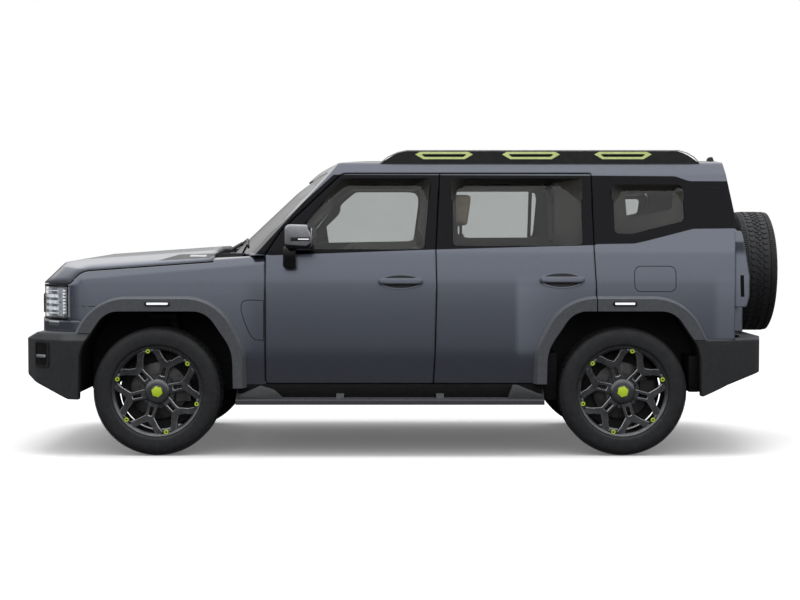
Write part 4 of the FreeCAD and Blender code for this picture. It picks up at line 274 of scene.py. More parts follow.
silver = finish(
    "satin_silver", (0.56, 0.57, 0.59), (0.66, 0.67, 0.69), 30, (0.26, 0.34), metallic=0.85)
# Painted light: the lime on the rails glows a little, though the rails hold no lamp.
glowing_rail_lime = finish(
    "glowing_rail_lime", (0.5, 0.58, 0.2), (0.62, 0.7, 0.32), 20, (0.22, 0.32), metallic=0.3,
    Emission_Color=(0.6, 0.7, 0.3), Emission_Strength=0.3)
# Painted light: the lime markers and cap glow a little, though they are no lamps.
glowing_lime = finish(
    "glowing_lime_accent", (0.52, 0.72, 0.03), (0.6, 0.8, 0.05), 20, (0.35, 0.42),
    Emission_Color=(0.5, 0.7, 0.04), Emission_Strength=0.12)
trim_grey = finish(
    "cabin_trim", (0.055, 0.051, 0.046), (0.075, 0.07, 0.063), 35, (0.62, 0.74), bump=(0.35, 600))
headliner = finish(
    "headliner_felt", (0.3, 0.28, 0.25), (0.38, 0.36, 0.32), 220, (0.85, 0.95), bump=(0.4, 1200))
print(len(bpy.data.materials), "finishes so far")

# %% [markdown]
# ## Body paint
# The paint is a slate metallic under clear lacquer. The panels are CAD solids with an outer and
# an inner skin, so the material asks the normal which way a face looks: a face that looks back
# towards the middle is cabin trim, not paint. A dark band runs round the windows, between two
# lines that follow the photograph. Two curves give the band's lower and upper edge at each X.
# The CAD side is nearly flat, so more curves tilt the normal: one over the height for the soft
# crown of the doors, one over the length for the edge of the haunch. A Bevel node rounds the
# panels' edges. Faces that slope between upright and flat get a darker colour, which is painted
# shade. The bumpers get a tilted ledge in the same way, and its pale colour is a painted highlight.

# %% Helpers for paint
curve_reach = 2.4  # curves over X run from -2.4 to 2.4 m
curve_top = 2.0  # and heights run from 0 to 2 m


def filled_curve(value, points, straight=False):
    """A curve through (place, value) points that all lie between 0 and 1."""
    node = add_node(value.id_data, "FloatCurve", Value=value)
    corners = node.mapping.curves[0].points
    while len(corners) < len(points):
        corners.new(0.5, 0.5)
    for corner, place in zip(corners, points):
        corner.location = place
        if straight:
            corner.handle_type = "VECTOR"
    node.mapping.update()
    return node.outputs["Value"]


def curve_of_x(across, line):
    """A value that follows (x, z) points along the vehicle."""
    width = 2 * curve_reach
    share = scaled(across, 1 / width, 0.5)
    points = [((x + curve_reach) / width, z / curve_top) for x, z in line]
    return times(filled_curve(share, points, straight=True), curve_top)


def crown_normal(normal, height, line, lift=None):
    """Gives flat upright panels a soft crown: (z, tilt) points say how far they look up."""
    parts = parts_of(normal)
    share = times(height, 1 / curve_top)
    tilt = filled_curve(share, [(z / curve_top, tilt * 2 + 0.5) for z, tilt in line])
    tilt = scaled(tilt, 0.5, -0.25)
    if lift:
        middle = ramp_node(share, (0.25, 0.0), (0.32, 1.0), (0.5, 1.0), (0.55, 0.0))
        tilt = math_node("ADD", tilt, times(lift, middle))
    upright = ramp_node(math_node("ABSOLUTE", parts["Y"]), (0.8, 0.0), (0.94, 1.0))
    below_glass = ramp_node(share, (0.6, 1.0), (0.62, 0.0))
    change = math_node("SUBTRACT", tilt, parts["Z"])
    change = times(change, times(upright, below_glass))
    tree = normal.id_data
    whole = add_node(
        tree, "CombineXYZ", parts["X"], parts["Y"], math_node("ADD", parts["Z"], change))
    return add_node(tree, "VectorMath", whole.outputs[0], operation="NORMALIZE").outputs[0]


def soft_edges(tree, radius):
    return add_node(tree, "Bevel", Radius=radius, samples=6).outputs["Normal"]


print("curves reach", curve_reach, "m each way")

# %% Paint with its window band
crown_line = [
    (0.4, -0.08), (0.55, -0.06), (0.6, -0.02), (0.66, 0.03), (0.84, 0.05), (0.96, 0.068),
    (1.02, 0.084), (1.08, 0.125), (1.2, 0.135)]
haunch_line = [
    (-2.4, 0.03), (-1.0, 0.026), (-0.9, 0.0), (0.645, 0.0), (0.668, 0.055), (0.8, 0.036),
    (1.0, 0.012), (1.83, 0.008), (1.87, 0.04), (2.4, 0.04)]
sill_line = 0.437


def paint_material(name, band_low=None, band_high=None, lining=trim_grey, inward="Y", soft=0.018):
    """Metallic paint, with the lining's colour on faces that look inwards along one axis."""
    material = new_material(
        name, (0.16, 0.165, 0.19), 0.3, 0.8, Coat_Weight=1.0, Coat_Roughness=0.04)
    tree = material.node_tree
    place = parts_of(object_place(tree))
    facing = parts_of(add_node(tree, "NewGeometry").outputs["Normal"])
    flakes = ramp_node(noise_on(material, 1400, 1.0), (0.35, 0.0), (0.75, 1.0))
    colour = mix_colours(flakes, (0.149, 0.165, 0.211), (0.197, 0.218, 0.276))
    # Painted shade: faces that slope between upright and flat get a darker colour.
    slope = math_node("ABSOLUTE", facing["Z"])
    slope_shade = ramp_node(slope, (0.12, 1.0), (0.4, 0.6), (0.7, 0.55), (0.9, 0.6), (0.985, 1.0))
    colour = mix_colours(slope_shade, (0.045, 0.047, 0.054), colour)
    metal, lacquer = 0.9, 1.0
    if band_low:
        above = math_node("GREATER_THAN", place["Z"], curve_of_x(place["X"], band_low))
        below = math_node("LESS_THAN", place["Z"], curve_of_x(place["X"], band_high))
        low_body = math_node("LESS_THAN", place["Z"], sill_line)
        band = math_node("MAXIMUM", times(above, below), low_body)
        colour = mix_colours(band, colour, (0.009, 0.009, 0.011))
        metal = scaled(band, 0.1, 0.9)
        lacquer = scaled(band, -0.85, 1.0)
    if inward == "Y":
        outwards = times(place["Y"], facing["Y"])
        inner = math_node("LESS_THAN", outwards, -0.02)
    else:
        inner = math_node("LESS_THAN", facing[inward], -0.3)
    outer = math_node("SUBTRACT", 1.0, inner)
    lining_colour = tuple(surface(lining)["Base Color"].default_value[:3])
    rough = scaled(flakes, 0.08, 0.24)
    haunch = curve_of_x(place["X"], haunch_line)
    crowned = crown_normal(soft_edges(tree, soft), place["Z"], crown_line, haunch)
    return dress(
        material, Base_Color=mix_colours(inner, colour, lining_colour),
        Roughness=math_node("MAXIMUM", rough, times(inner, 0.7)), Metallic=times(outer, metal),
        Coat_Weight=times(outer, lacquer), Normal=crowned, Coat_Normal=crowned)


band_low_line = [
    (-2.4, 1.9), (-0.961, 1.219), (-0.816, 1.205), (0.179, 1.24), (1.125, 1.266), (1.143, 1.272),
    (1.365, 1.275), (1.443, 1.292), (1.725, 1.364), (2.4, 1.372)]
band_high_line = [
    (-2.4, 1.0), (-0.961, 1.219), (-0.45, 1.696), (1.133, 1.69), (1.635, 1.686), (1.718, 1.656),
    (1.958, 1.655), (2.4, 1.655)]
side_paint = paint_material("slate_paint_banded", band_low_line, band_high_line)
plain_paint = paint_material("slate_paint")
roof_paint = paint_material("slate_paint_roof", lining=headliner, inward="Z")
rear_paint = paint_material("slate_paint_rear", inward="X")
hood_paint = paint_material("slate_paint_hood", soft=0.075)
print("paint with a band from", band_low_line[1], "to", band_low_line[-1])

# %% Bumpers with a painted highlight on the ledge
ledge_line = [
    (0.3, 0.03), (0.36, -0.01), (0.5, -0.02), (0.66, 0.0), (0.693, 0.03), (0.7, 0.24),
    (0.74, 0.245), (0.8, 0.245)]
bumper_plastic = finish(
    "bumper_plastic", (0.024, 0.025, 0.028), (0.034, 0.036, 0.041), 60, (0.44, 0.56))
height = parts_of(object_place(bumper_plastic.node_tree))["Z"]
# Painted highlight: the bumper above the ledge gets a pale grey.
ledge_highlight = ramp_node(height, (0.693, 0.0), (0.701, 1.0))
plain = surface(bumper_plastic)["Base Color"].links[0].from_socket
eased = soft_edges(bumper_plastic.node_tree, 0.02)
dress(
    bumper_plastic, Base_Color=mix_colours(ledge_highlight, plain, (0.095, 0.098, 0.106)),
    Normal=crown_normal(eased, height, ledge_line))
print("ledge at z =", ledge_line[4][0])

# %% [markdown]
# ## Glass
# Tinted glass lets about two thirds of the light through each pane. Principled with full
# transmission and a grey colour does that, and a thin solid needs no bending of the view, so the
# index stays near one and the clear coat gives the reflection. The windscreen is seen at a slant
# from the side, and a Layer Weight node makes it almost black there.

# %% Make the glass and lamp finishes
def clear_material(name, tint, ior=1.12, coat=0.6):
    material = new_material(
        name, tint, 0.0, Transmission_Weight=1.0, IOR=ior, Coat_Weight=coat, Coat_Roughness=0.02)
    speckle(material, 3, tuple(0.97 * part for part in tint), tint)
    return material


screen_tint = (0.44, 0.46, 0.46)
tinted_glass = clear_material("tinted_glass", (0.6, 0.62, 0.61))
screen_glass = clear_material("screen_glass", screen_tint)
slant = add_node(screen_glass.node_tree, "LayerWeight", Blend=0.5).outputs["Facing"]
steep = ramp_node(slant, (0.5, 0.0), (0.76, 1.0))
dress(screen_glass, Base_Color=mix_colours(steep, screen_tint, (0.06, 0.062, 0.066)))
lamp_lens = clear_material("lamp_lens", (0.9, 0.92, 0.94), ior=1.2, coat=1.0)
smoked_lens = clear_material("smoked_lens", (0.3, 0.05, 0.045), ior=1.2, coat=1.0)
print("glass ready")

# %% Give every CAD node its finish
uses = (
    ("body_side door", side_paint), ("roof_panel", roof_paint), ("hood", hood_paint),
    ("tailgate", rear_paint), ("fender front_fascia tail_lamps mirror", plain_paint),
    ("glass quarter_windows tailgate_glass", tinted_glass), ("windscreen", screen_glass),
    ("front_bumper rear_bumper", bumper_plastic), ("headlamps grille", gloss_black),
    ("door_flare arch_flares", flare_grey),
    ("underbody wheel_liners fuel_tank front_suspension rear_suspension spare_carrier",
    chassis_black), ("cowl_panel", moulded), ("side_steps", step_grey), ("engine", cast_aluminium),
    ("roof_rails steering_wheel", satin_black), ("dashboard front_seats rear_seat", trim_grey),
    ("tyre spare_tyre", rubber), ("rim spare_rim", graphite), ("knuckle", cast_iron),
    ("exhaust", steel))
finishes = {start: material for starts, material in uses for start in starts.split()}


def finish_for(name):
    """The finish with the longest name that starts this node's name."""
    return finishes[max((key for key in finishes if name.startswith(key)), key=len)]


for name, item in nodes.items():
    item.data.materials.clear()
    item.data.materials.append(finish_for(name))
print("finishes given to", len(nodes), "nodes")

# %% [markdown]
# ## Pieces from bmesh
# A new piece starts as a bmesh, is shaped by operators and then becomes an object at the origin
# that rides on a CAD body. Normals are recalculated after doubles merge, and edges sharper than
# a set angle stay crisp while the rest shade smoothly.

# %% Helpers for a modelled piece
def make_piece(form, name, material, body="body", smooth_angle=35.0, replaced=None):
    ops.remove_doubles(form, verts=form.verts, dist=0.00002)
    ops.recalc_face_normals(form, faces=form.faces)
    mesh = bpy.data.meshes.new(name)
    form.to_mesh(mesh)
    form.free()
    mesh.polygons.foreach_set("use_smooth", [True] * len(mesh.polygons))
    mesh.set_sharp_from_angle(angle=math.radians(smooth_angle))
    item = bpy.data.objects.new(name, mesh)
    scene.collection.objects.link(item)
    mesh.materials.append(material)
    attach(item, body)
    if replaced:
        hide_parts(replaced)
    return item


def moved(x, y, z):
    return Matrix.Translation((x, y, z))


def turned(degrees, axis="Y", size=4):
    return Matrix.Rotation(math.radians(degrees), size, axis)


def placed_copy(form, name, matrix, material, body, smooth_angle=35.0, replaced=None):
    """A piece from a copy of a form, moved by a matrix."""
    copy = form.copy()
    ops.transform(copy, matrix=matrix, verts=copy.verts)
    return make_piece(copy, name, material, body, smooth_angle, replaced=replaced)


mirror_y = Matrix.Scale(-1, 4, (0, 1, 0))


def both_sides(
        form, name, material, body="body", smooth_angle=35.0, sides=("left", "right"),
        replaced=""):
    """Makes the left piece and its mirror image on the right."""
    for side in sides:
        matrix = mirror_y if side == "right" else Matrix.Identity(4)
        placed_copy(
            form, f"{name}_{side}", matrix, material, body.format(side), smooth_angle,
            replaced.format(side))
    form.free()


def spun(profile, steps=96, closed=True):
    """A form spun round the Y axis from (sideways, radius) points."""
    form = bmesh.new()
    corners = [form.verts.new((radius, y, 0)) for y, radius in profile]
    edges = [form.edges.new(pair) for pair in zip(corners, corners[1:])]
    if closed:
        edges.append(form.edges.new((corners[-1], corners[0])))
    ops.spin(
        form, geom=corners + edges, cent=(0, 0, 0), axis=(0, 1, 0), dvec=(0, 0, 0), angle=math.tau,
        steps=steps, use_merge=True, use_duplicate=False)
    return form


def join(target, source, matrix=Matrix.Identity(4)):
    """Adds a copy of one form to another, moved by a matrix."""
    mesh = bpy.data.meshes.new("step")
    source.to_mesh(mesh)
    mesh.transform(matrix)
    target.from_mesh(mesh)
    bpy.data.meshes.remove(mesh)


def extrude(form, along):
    """Extrudes the faces of a form, and gives the corners of its new end."""
    grown = ops.extrude_face_region(form, geom=form.faces[:])
    end = [part for part in grown["geom"] if isinstance(part, bmesh.types.BMVert)]
    ops.translate(form, verts=end, vec=along)
    return end


def ease_edges(form, width, segments=2, edges=None):
    """Bevels the given edges of a form, or all of them."""
    ops.recalc_face_normals(form, faces=form.faces)
    if width:
        ops.bevel(
            form, geom=edges or form.edges[:], offset=width, segments=segments, profile=0.5,
            affect="EDGES", material=-1, clamp_overlap=True)
    return form


def plate(corners, low, high, edge=0.0, segments=2):
    """A flat outline of (x, z) corners, extruded from y = low to y = high, with eased edges."""
    form = bmesh.new()
    form.faces.new([form.verts.new((x, low, z)) for x, z in corners])
    extrude(form, (0, high - low, 0))
    return ease_edges(form, edge, segments)


def bar(low, high, edge=0.0, segments=2):
    """A block between two corners, with eased edges."""
    corners = [(low[0], low[2]), (high[0], low[2]), (high[0], high[2]), (low[0], high[2])]
    return plate(corners, low[1], high[1], edge, segments)


def hexagon(x, y, radius, tall):
    """A six-sided head on the wheel's outer face, and the corners of its outer end."""
    form = bmesh.new()
    ops.create_circle(
        form, cap_ends=True, segments=6, radius=radius, matrix=moved(x, y, 0) @ turned(90, "X"))
    return form, extrude(form, (0, -tall, 0))


def rod_between(start, end, radius, sides=10):
    """A thin rod from one point to another."""
    start, end = Vector(start), Vector(end)
    turn = Vector((0, 0, 1)).rotation_difference(end - start).to_matrix().to_4x4()
    rod = bmesh.new()
    ops.create_cone(
        rod, cap_ends=True, segments=sides, radius1=radius, radius2=radius,
        depth=(end - start).length, matrix=Matrix.Translation((start + end) / 2) @ turn)
    return rod


def loft(rows, capped=True):
    """A form through rows of corners, each a closed loop; without caps the last meets the first."""
    form = bmesh.new()
    rows = [[form.verts.new(place) for place in row] for row in rows]
    if capped:
        form.faces.new(rows[0])
        form.faces.new(rows[-1])
    else:
        rows.append(rows[0])
    for row, other in zip(rows, rows[1:]):
        for first in range(len(row)):
            second = (first + 1) % len(row)
            form.faces.new((row[first], row[second], other[second], other[first]))
    return form


print("operators ready for the pieces")

# %% [markdown]
# ## Tyres
# A road tyre's sidewall bulges between the rim and the tread, so one section is spun round the
# axle. The tread pattern is modelled in one short pitch: hexagon blocks either side of a zigzag
# centre, and ribs on the shoulders. The pitch is copied round the tyre sixty times.

# %% Shape one tyre
side_section = [
    (0.085, 0.2618), (0.0878, 0.264), (0.0878, 0.2748), (0.106, 0.2748), (0.1098, 0.279),
    (0.1135, 0.287), (0.115, 0.288), (0.1166, 0.3), (0.1172, 0.322), (0.116, 0.34),
    (0.1128, 0.355), (0.1085, 0.366), (0.101, 0.3745), (0.09, 0.3785), (0.06, 0.3795)]
carcass = spun(side_section + [(-y, radius) for y, radius in reversed(side_section)], 120)
pitches = 60


def tread_block(sides, along, across, offset, turn=0, low=0.3765, high=0.3858, slope=0.0):
    """One raised block at the top of the tyre; along runs round it, across runs sideways."""
    block = bmesh.new()
    ops.create_circle(block, cap_ends=True, segments=sides, radius=1.0, matrix=turned(turn, "Z"))
    top = extrude(block, (0, 0, 1))
    ops.scale(block, verts=top, vec=(0.9, 0.9, 1))
    ops.scale(block, verts=block.verts, vec=(along, across, high - low))
    ops.rotate(block, verts=block.verts, cent=(0, 0, 0), matrix=turned(slope, "X", 3))
    ops.translate(block, verts=block.verts, vec=(0, offset, low))
    return block


pitch_turn = 360 / pitches
half_pitch = turned(pitch_turn / 2)
pitch = bmesh.new()
join(pitch, tread_block(6, 0.0205, 0.0215, -0.04))
join(pitch, tread_block(6, 0.0205, 0.0215, 0.04), half_pitch)
join(pitch, tread_block(4, 0.013, 0.0135, -0.0075), half_pitch)
join(pitch, tread_block(4, 0.013, 0.0135, 0.0075))
for share in (0.0, 1 / 3, 2 / 3):
    step = turned(pitch_turn * share)
    for sign in (-1, 1):
        rib = tread_block(4, 0.0072, 0.024, sign * 0.084, 45, 0.3735, 0.3835, -sign * 9.0)
        join(pitch, rib, step)
        fin = tread_block(4, 0.004, 0.012, sign * 0.1105, 45, 0.356, 0.3575, -sign * 68.0)
        join(pitch, fin, step)
tread = bmesh.new()
for index in range(pitches):
    join(tread, pitch, turned(pitch_turn * index))
join(carcass, tread)
print("tyre:", len(carcass.faces), "faces")

# %% [markdown]
# ## Rims
# Each rim has six spokes that fork towards the edge. Half a spoke is drawn flat and mirrored, so
# both halves match, then it is given depth and chamfered edges in a paler metal, a painted
# highlight where the edges catch the light. A slot runs down each shank. Small lime markers sit
# between the forks, and a plain lime hexagon marks the cap; the lime glows a little, which is
# painted light.

# %% Shape one rim
half_spoke = [
    (0.06, 0.0), (0.06, 0.031), (0.138, 0.0275), (0.157, 0.029), (0.2, 0.071), (0.224, 0.107),
    (0.247, 0.076), (0.241, 0.058), (0.212, 0.031), (0.192, 0.0), (0.153, 0.0), (0.15, 0.0105),
    (0.099, 0.0125), (0.096, 0.0)]
forks = [60 * index for index in range(6)]
spoke = bmesh.new()
spoke.faces.new([spoke.verts.new((x, 0, z)) for x, z in half_spoke])
ops.mirror(
    spoke, geom=spoke.faces[:] + spoke.edges[:] + spoke.verts[:], axis="Z", merge_dist=0.0005)
extrude(spoke, (0, -0.036, 0))
ops.dissolve_limit(spoke, angle_limit=0.02, verts=spoke.verts, edges=spoke.edges)
ops.recalc_face_normals(spoke, faces=spoke.faces)
rim_edges = [
    edge for edge in spoke.edges if all(corner.co.y < -0.03 for corner in edge.verts)
    and edge.calc_face_angle(0) > 0.5]
ease_edges(spoke, 0.0042, 1, rim_edges)
spoke.normal_update()
# Painted highlight: the chamfer faces take the second, paler metal.
for face in spoke.faces:
    if 0.3 < abs(face.normal.y) < 0.9:
        face.material_index = 1
for corner in spoke.verts:
    corner.co.y -= 0.05 + 0.055 * (corner.co.x - 0.155)
rim_form = bmesh.new()
for degrees in forks:
    join(rim_form, spoke, turned(degrees))
flange = [
    (-0.1018, 0.269), (-0.1018, 0.2728), (-0.0985, 0.2738), (-0.089, 0.2738), (-0.087, 0.2612),
    (0.087, 0.2612), (0.089, 0.2738), (0.1018, 0.2738)]
inner_wall = [(0.1018, 0.256), (0.06, 0.25), (-0.06, 0.248), (-0.086, 0.252), (-0.096, 0.26)]
join(rim_form, spun(flange + inner_wall, 120))
hub = [
    (-0.0975, 0.0), (-0.0975, 0.036), (-0.096, 0.0385), (-0.0962, 0.06), (-0.093, 0.068),
    (-0.088, 0.074), (-0.078, 0.078), (-0.046, 0.0785), (-0.046, 0.105), (-0.042, 0.106),
    (-0.012, 0.106), (-0.012, 0.0)]
join(rim_form, spun(hub, 72, closed=False))
boss, nut_end = hexagon(0.091, -0.046, 0.0145, 0.026)
ops.scale(boss, verts=nut_end, vec=(0.86, 1, 0.86), space=moved(-0.091, 0, 0))
join(boss, bar((0.24, -0.094, -0.034), (0.257, -0.07, 0.034), 0.003))
for degrees in forks:
    join(rim_form, boss, turned(degrees + 30))
print("rim:", len(rim_form.faces), "faces")

# %% Shape the lime markers and the brake disc
lime_form = bmesh.new()
join(lime_form, ease_edges(hexagon(0, -0.0966, 0.0345, 0.003)[0], 0.0012))
marker = spun([(-0.099, 0.007), (-0.099, 0.0125), (-0.093, 0.0135), (-0.093, 0.006)], 16)
for degrees in forks:
    join(lime_form, marker, turned(degrees + 30) @ moved(0.2495, 0, 0))
disc_profile = [
    (-0.0115, 0.06), (-0.0115, 0.168), (-0.0095, 0.1715), (0.0135, 0.1715), (0.0155, 0.168),
    (0.0155, 0.06)]
shield_profile = [
    (0.025, 0.118), (0.025, 0.226), (0.02, 0.232), (0.02, 0.2355), (0.027, 0.2355), (0.028, 0.118)]
disc_form, shield_form = spun(disc_profile), spun(shield_profile, 72)
print("disc:", len(disc_form.faces), "faces")


# %% Put the five wheels in place
def centre_of(node):
    low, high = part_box(node)
    return (low + high) / 2


places = {}  # where each wheel goes: its matrix, its body and the nodes it replaces
for place, turn in (("front", 12.5), ("rear", -13.0)):
    left = Matrix.Translation(centre_of(f"tyre_{place}_left")) @ turned(-turn)
    places[f"{place}_left"] = (left, f"wheel_{place}_left", f"{{}}_{place}_left")
    places[f"{place}_right"] = (mirror_y @ left, f"wheel_{place}_right", f"{{}}_{place}_right")
spare = Matrix.Translation(centre_of("spare_tyre")) @ turned(90, "Z")
places["spare"] = (spare, "tailgate", "spare_{}")
for place, (matrix, body, node) in places.items():
    placed_copy(carcass, f"tread_{place}", matrix, rubber, body, 28, node.format("tyre"))
    rim = placed_copy(
        rim_form, f"forked_rim_{place}", matrix, graphite, body, 25, node.format("rim"))
    rim.data.materials.append(rim_edge_highlight)
    placed_copy(lime_form, f"lime_markers_{place}", matrix, glowing_lime, body)
    if place != "spare":
        placed_copy(disc_form, f"brake_disc_{place}", matrix, cast_iron, body)
        upright = place.replace("front", "knuckle") if "front" in place else "body"
        placed_copy(shield_form, f"brake_shield_{place}", matrix, chassis_black, upright)
print("wheels placed:", ", ".join(places))

# %% [markdown]
# ## Trim that follows the body
# Handles, lines and lamps lie on curved panels. Each one is drawn flat, seen from the side, and
# every vertex is then pushed along Y until it meets the CAD skin, so the piece takes the panel's
# curve. The right side gets a mirrored copy.

# %% Helpers that find the skin
trees = {}


def skin_tree(names):
    if names not in trees:
        corners, faces = [], []
        for name in names.split():
            item = nodes[name]
            start = len(corners)
            corners += [item.matrix_world @ vertex.co for vertex in item.data.vertices]
            faces += [[start + index for index in face.vertices] for face in item.data.polygons]
        trees[names] = BVHTree.FromPolygons(corners, faces)
    return trees[names]


def skin_at(names, start, aim, default):
    """Where a ray along an axis meets the skin of some CAD nodes, as a place on that axis."""
    spot = skin_tree(names).ray_cast(Vector(start), Vector(aim))[0]
    return spot.dot([abs(part) for part in aim]) if spot else default


def side_skin(names, x, z, default=-0.9):
    """Y of the outer skin on the left side at a place seen from the side."""
    return skin_at(names, (x, -3, z), (0, 1, 0), default)


def drape(form, names, default=-0.9):
    """Pushes a flat form onto the left skin; its own y is then the height over the skin."""
    for vertex in form.verts:
        x, y, z = vertex.co
        vertex.co.y = y + side_skin(names, x, z, default)
    return form


def cut_at(form, places):
    """Cuts a flat form across at places along X, so that it can bend with the skin."""
    for place in places:
        ops.bisect_plane(
            form, geom=form.verts[:] + form.edges[:] + form.faces[:], plane_co=(place, 0, 0),
            plane_no=(1, 0, 0))
    return form


def cut_fine(form, pitch, low, high):
    count = max(int((high - low) / pitch), 1)
    return cut_at(form, [low + (high - low) * index / count for index in range(1, count)])


def rounded(low, high, radius, steps=5):
    """Corners (x, z) of a rectangle with rounded ends."""
    left, right = low[0] + radius, high[0] - radius
    foot, top = low[1] + radius, high[1] - radius
    outline = []
    for quarter, (x, z) in enumerate(((right, top), (left, top), (left, foot), (right, foot))):
        for index in range(steps + 1):
            angle = math.radians(90 * quarter + 90 * index / steps)
            outline.append((x + radius * math.cos(angle), z + radius * math.sin(angle)))
    return outline


def ring_plate(outer, inner, low, high):
    """A frame between two outlines with as many corners, from y = low to y = high."""
    levels = ((outer, low), (outer, high), (inner, high), (inner, low))
    return loft([[(x, y, z) for x, z in outline] for outline, y in levels], capped=False)


def runs_along(points):
    """The direction of a path at each of its points."""
    ends = [Vector(point) for point in (points[0], *points, points[-1])]
    return [(ahead - back).normalized() for back, ahead in zip(ends, ends[2:])]


def line_on(points, width, names, default=-0.9, height=0.0006):
    """A thin strip along (x, z) points, draped on the skin."""
    rows = []
    section = ((-1, 0.001), (-1, -height), (1, -height), (1, 0.001))
    for (x, z), run in zip(points, runs_along(points)):
        across = run.orthogonal() * (width / 2)
        rows.append([(x + sign * across.x, y, z + sign * across.y) for sign, y in section])
    return drape(loft(rows), names, default)


def spread(points, pitch=0.04):
    """Adds points between the given ones, about one pitch apart."""
    path = [points[0]]
    for start, end in zip(points, points[1:]):
        count = max(int((Vector(end) - Vector(start)).length / pitch), 1)
        for index in range(1, count + 1):
            share = index / count
            path.append(
                (start[0] + (end[0] - start[0]) * share, start[1] + (end[1] - start[1]) * share))
    return path


shut_line = finish(
    "shut_line", (0.004, 0.004, 0.005), (0.008, 0.008, 0.009), 40, (0.6, 0.7),
    Specular_IOR_Level=0.2)
glow = finish(
    "white_led", (0.85, 0.88, 0.92), (0.95, 0.97, 1.0), 30, (0.3, 0.4), Emission_Color=(1, 1, 1),
    Emission_Strength=0.55)
doors = "door_front_left door_rear_left"
flare_side, hood_side, glass_side, rail_side = -0.98, -0.68, -0.79, -0.645  # where a ray misses
print("skin of the door at the handle:", round(side_skin(doors, -0.04, 1.05), 3))

# %% [markdown]
# ## Handles, flap and side lines
# A pull handle sits over a dark oval hollow. The fuel flap, the panel behind the front wheel and
# the top of each wing are shown by their shut lines.

# %% Make the side details
for place, low, high in (
        ("front", (-0.178, 1.0), (0.096, 1.092)), ("rear", (0.789, 1.006), (1.064, 1.104))):
    door = f"door_{place}_{{}}"
    middle_x, middle_z = (low[0] + high[0]) / 2, (low[1] + high[1]) / 2
    half_x, half_z = (high[0] - low[0]) / 2, (high[1] - low[1]) / 2
    oval = [
        (middle_x + half_x * math.cos(angle), middle_z + half_z * math.sin(angle))
        for angle in (math.tau * index / 40 for index in range(40))]
    well = [(middle_x + (x - middle_x) * 0.86, middle_z + (z - middle_z) * 0.8) for x, z in oval]
    rim_ring = ring_plate(oval, well, 0.001, -0.003)
    both_sides(drape(rim_ring, doors), f"handle_rim_{place}", plain_paint, door)
    hollow = cut_fine(plate(well, 0.0005, -0.0012), 0.04, well[20][0], well[0][0])
    both_sides(drape(hollow, doors), f"handle_well_{place}", satin_black, door)
    grip = plate(
        rounded((low[0] + 0.006, middle_z - 0.012), (high[0] - 0.006, middle_z + 0.024), 0.015),
        -0.03, -0.04, 0.004)
    for start, end in ((low[0] + 0.008, low[0] + 0.045), (high[0] - 0.045, high[0] - 0.008)):
        leg = rounded((start, middle_z), (end, middle_z + 0.022), 0.008)
        join(grip, plate(leg, 0.0, -0.036, 0.002))
    ops.translate(grip, verts=grip.verts, vec=(0, side_skin(doors, middle_x, middle_z), 0))
    both_sides(grip, f"pull_handle_{place}", plain_paint, door)

flap_outer = rounded((1.36, 0.986), (1.612, 1.142), 0.04)
flap_inner = rounded((1.364, 0.99), (1.608, 1.138), 0.036)
flap = drape(ring_plate(flap_outer, flap_inner, 0.001, -0.0008), "body_side_left")
both_sides(flap, "fuel_flap_line", shut_line, sides=("left",))
panel_path = [
    (-0.862, 0.7), (-0.862, 0.935), (-0.955, 0.938), (-0.985, 0.93), (-0.998, 0.905),
    (-0.996, 0.875), (-0.975, 0.8), (-0.938, 0.722), (-0.915, 0.7), (-0.862, 0.696)]
both_sides(
    line_on(spread(panel_path), 0.004, "fender_left", height=0.001), "wing_panel_line", shut_line)
wing_line = spread([(-2.024, 0.9), (-1.862, 0.9)])
both_sides(line_on(wing_line, 0.004, "fender_left front_fascia"), "wing_line", shut_line)
for place, low, high in (("front", -1.568, -1.416), ("rear", 1.226, 1.369)):
    skin = "arch_flares door_flare_left"
    bezel = plate(rounded((low, 0.903), (high, 0.931), 0.01), 0.001, -0.004, 0.0012)
    both_sides(
        drape(cut_fine(bezel, 0.03, low, high), skin, flare_side), f"marker_bezel_{place}",
        gloss_black)
    strip = plate(rounded((low + 0.012, 0.911), (high - 0.012, 0.924), 0.004), -0.004, -0.006)
    both_sides(
        drape(cut_fine(strip, 0.03, low, high), skin, flare_side), f"marker_light_{place}", glow)
print("side details made")

# %% [markdown]
# ## Headlamps and bumper
# The lamp wraps round the corner, so its parts follow one path in plan: a bright back, a black
# frame, three crystal bars between two thin lines, a column of small white lights and a clear
# cover. A chrome lip runs under the lamp, and the bumper has a recess with a hook.

# %% Make the headlamps
def plan_strip(path, low, high, offset, thick, edge=0.0):
    """A strip that follows (x, y) points in plan, held away from them by an offset."""
    rows = []
    for place, run in zip(path, runs_along(path)):
        out = Vector((-abs(run.y), -abs(run.x)))
        inner = Vector(place) + out * offset
        outer = inner + out * thick
        rows.append([(*inner, low), (*outer, low), (*outer, high), (*inner, high)])
    return ease_edges(loft(rows), edge)


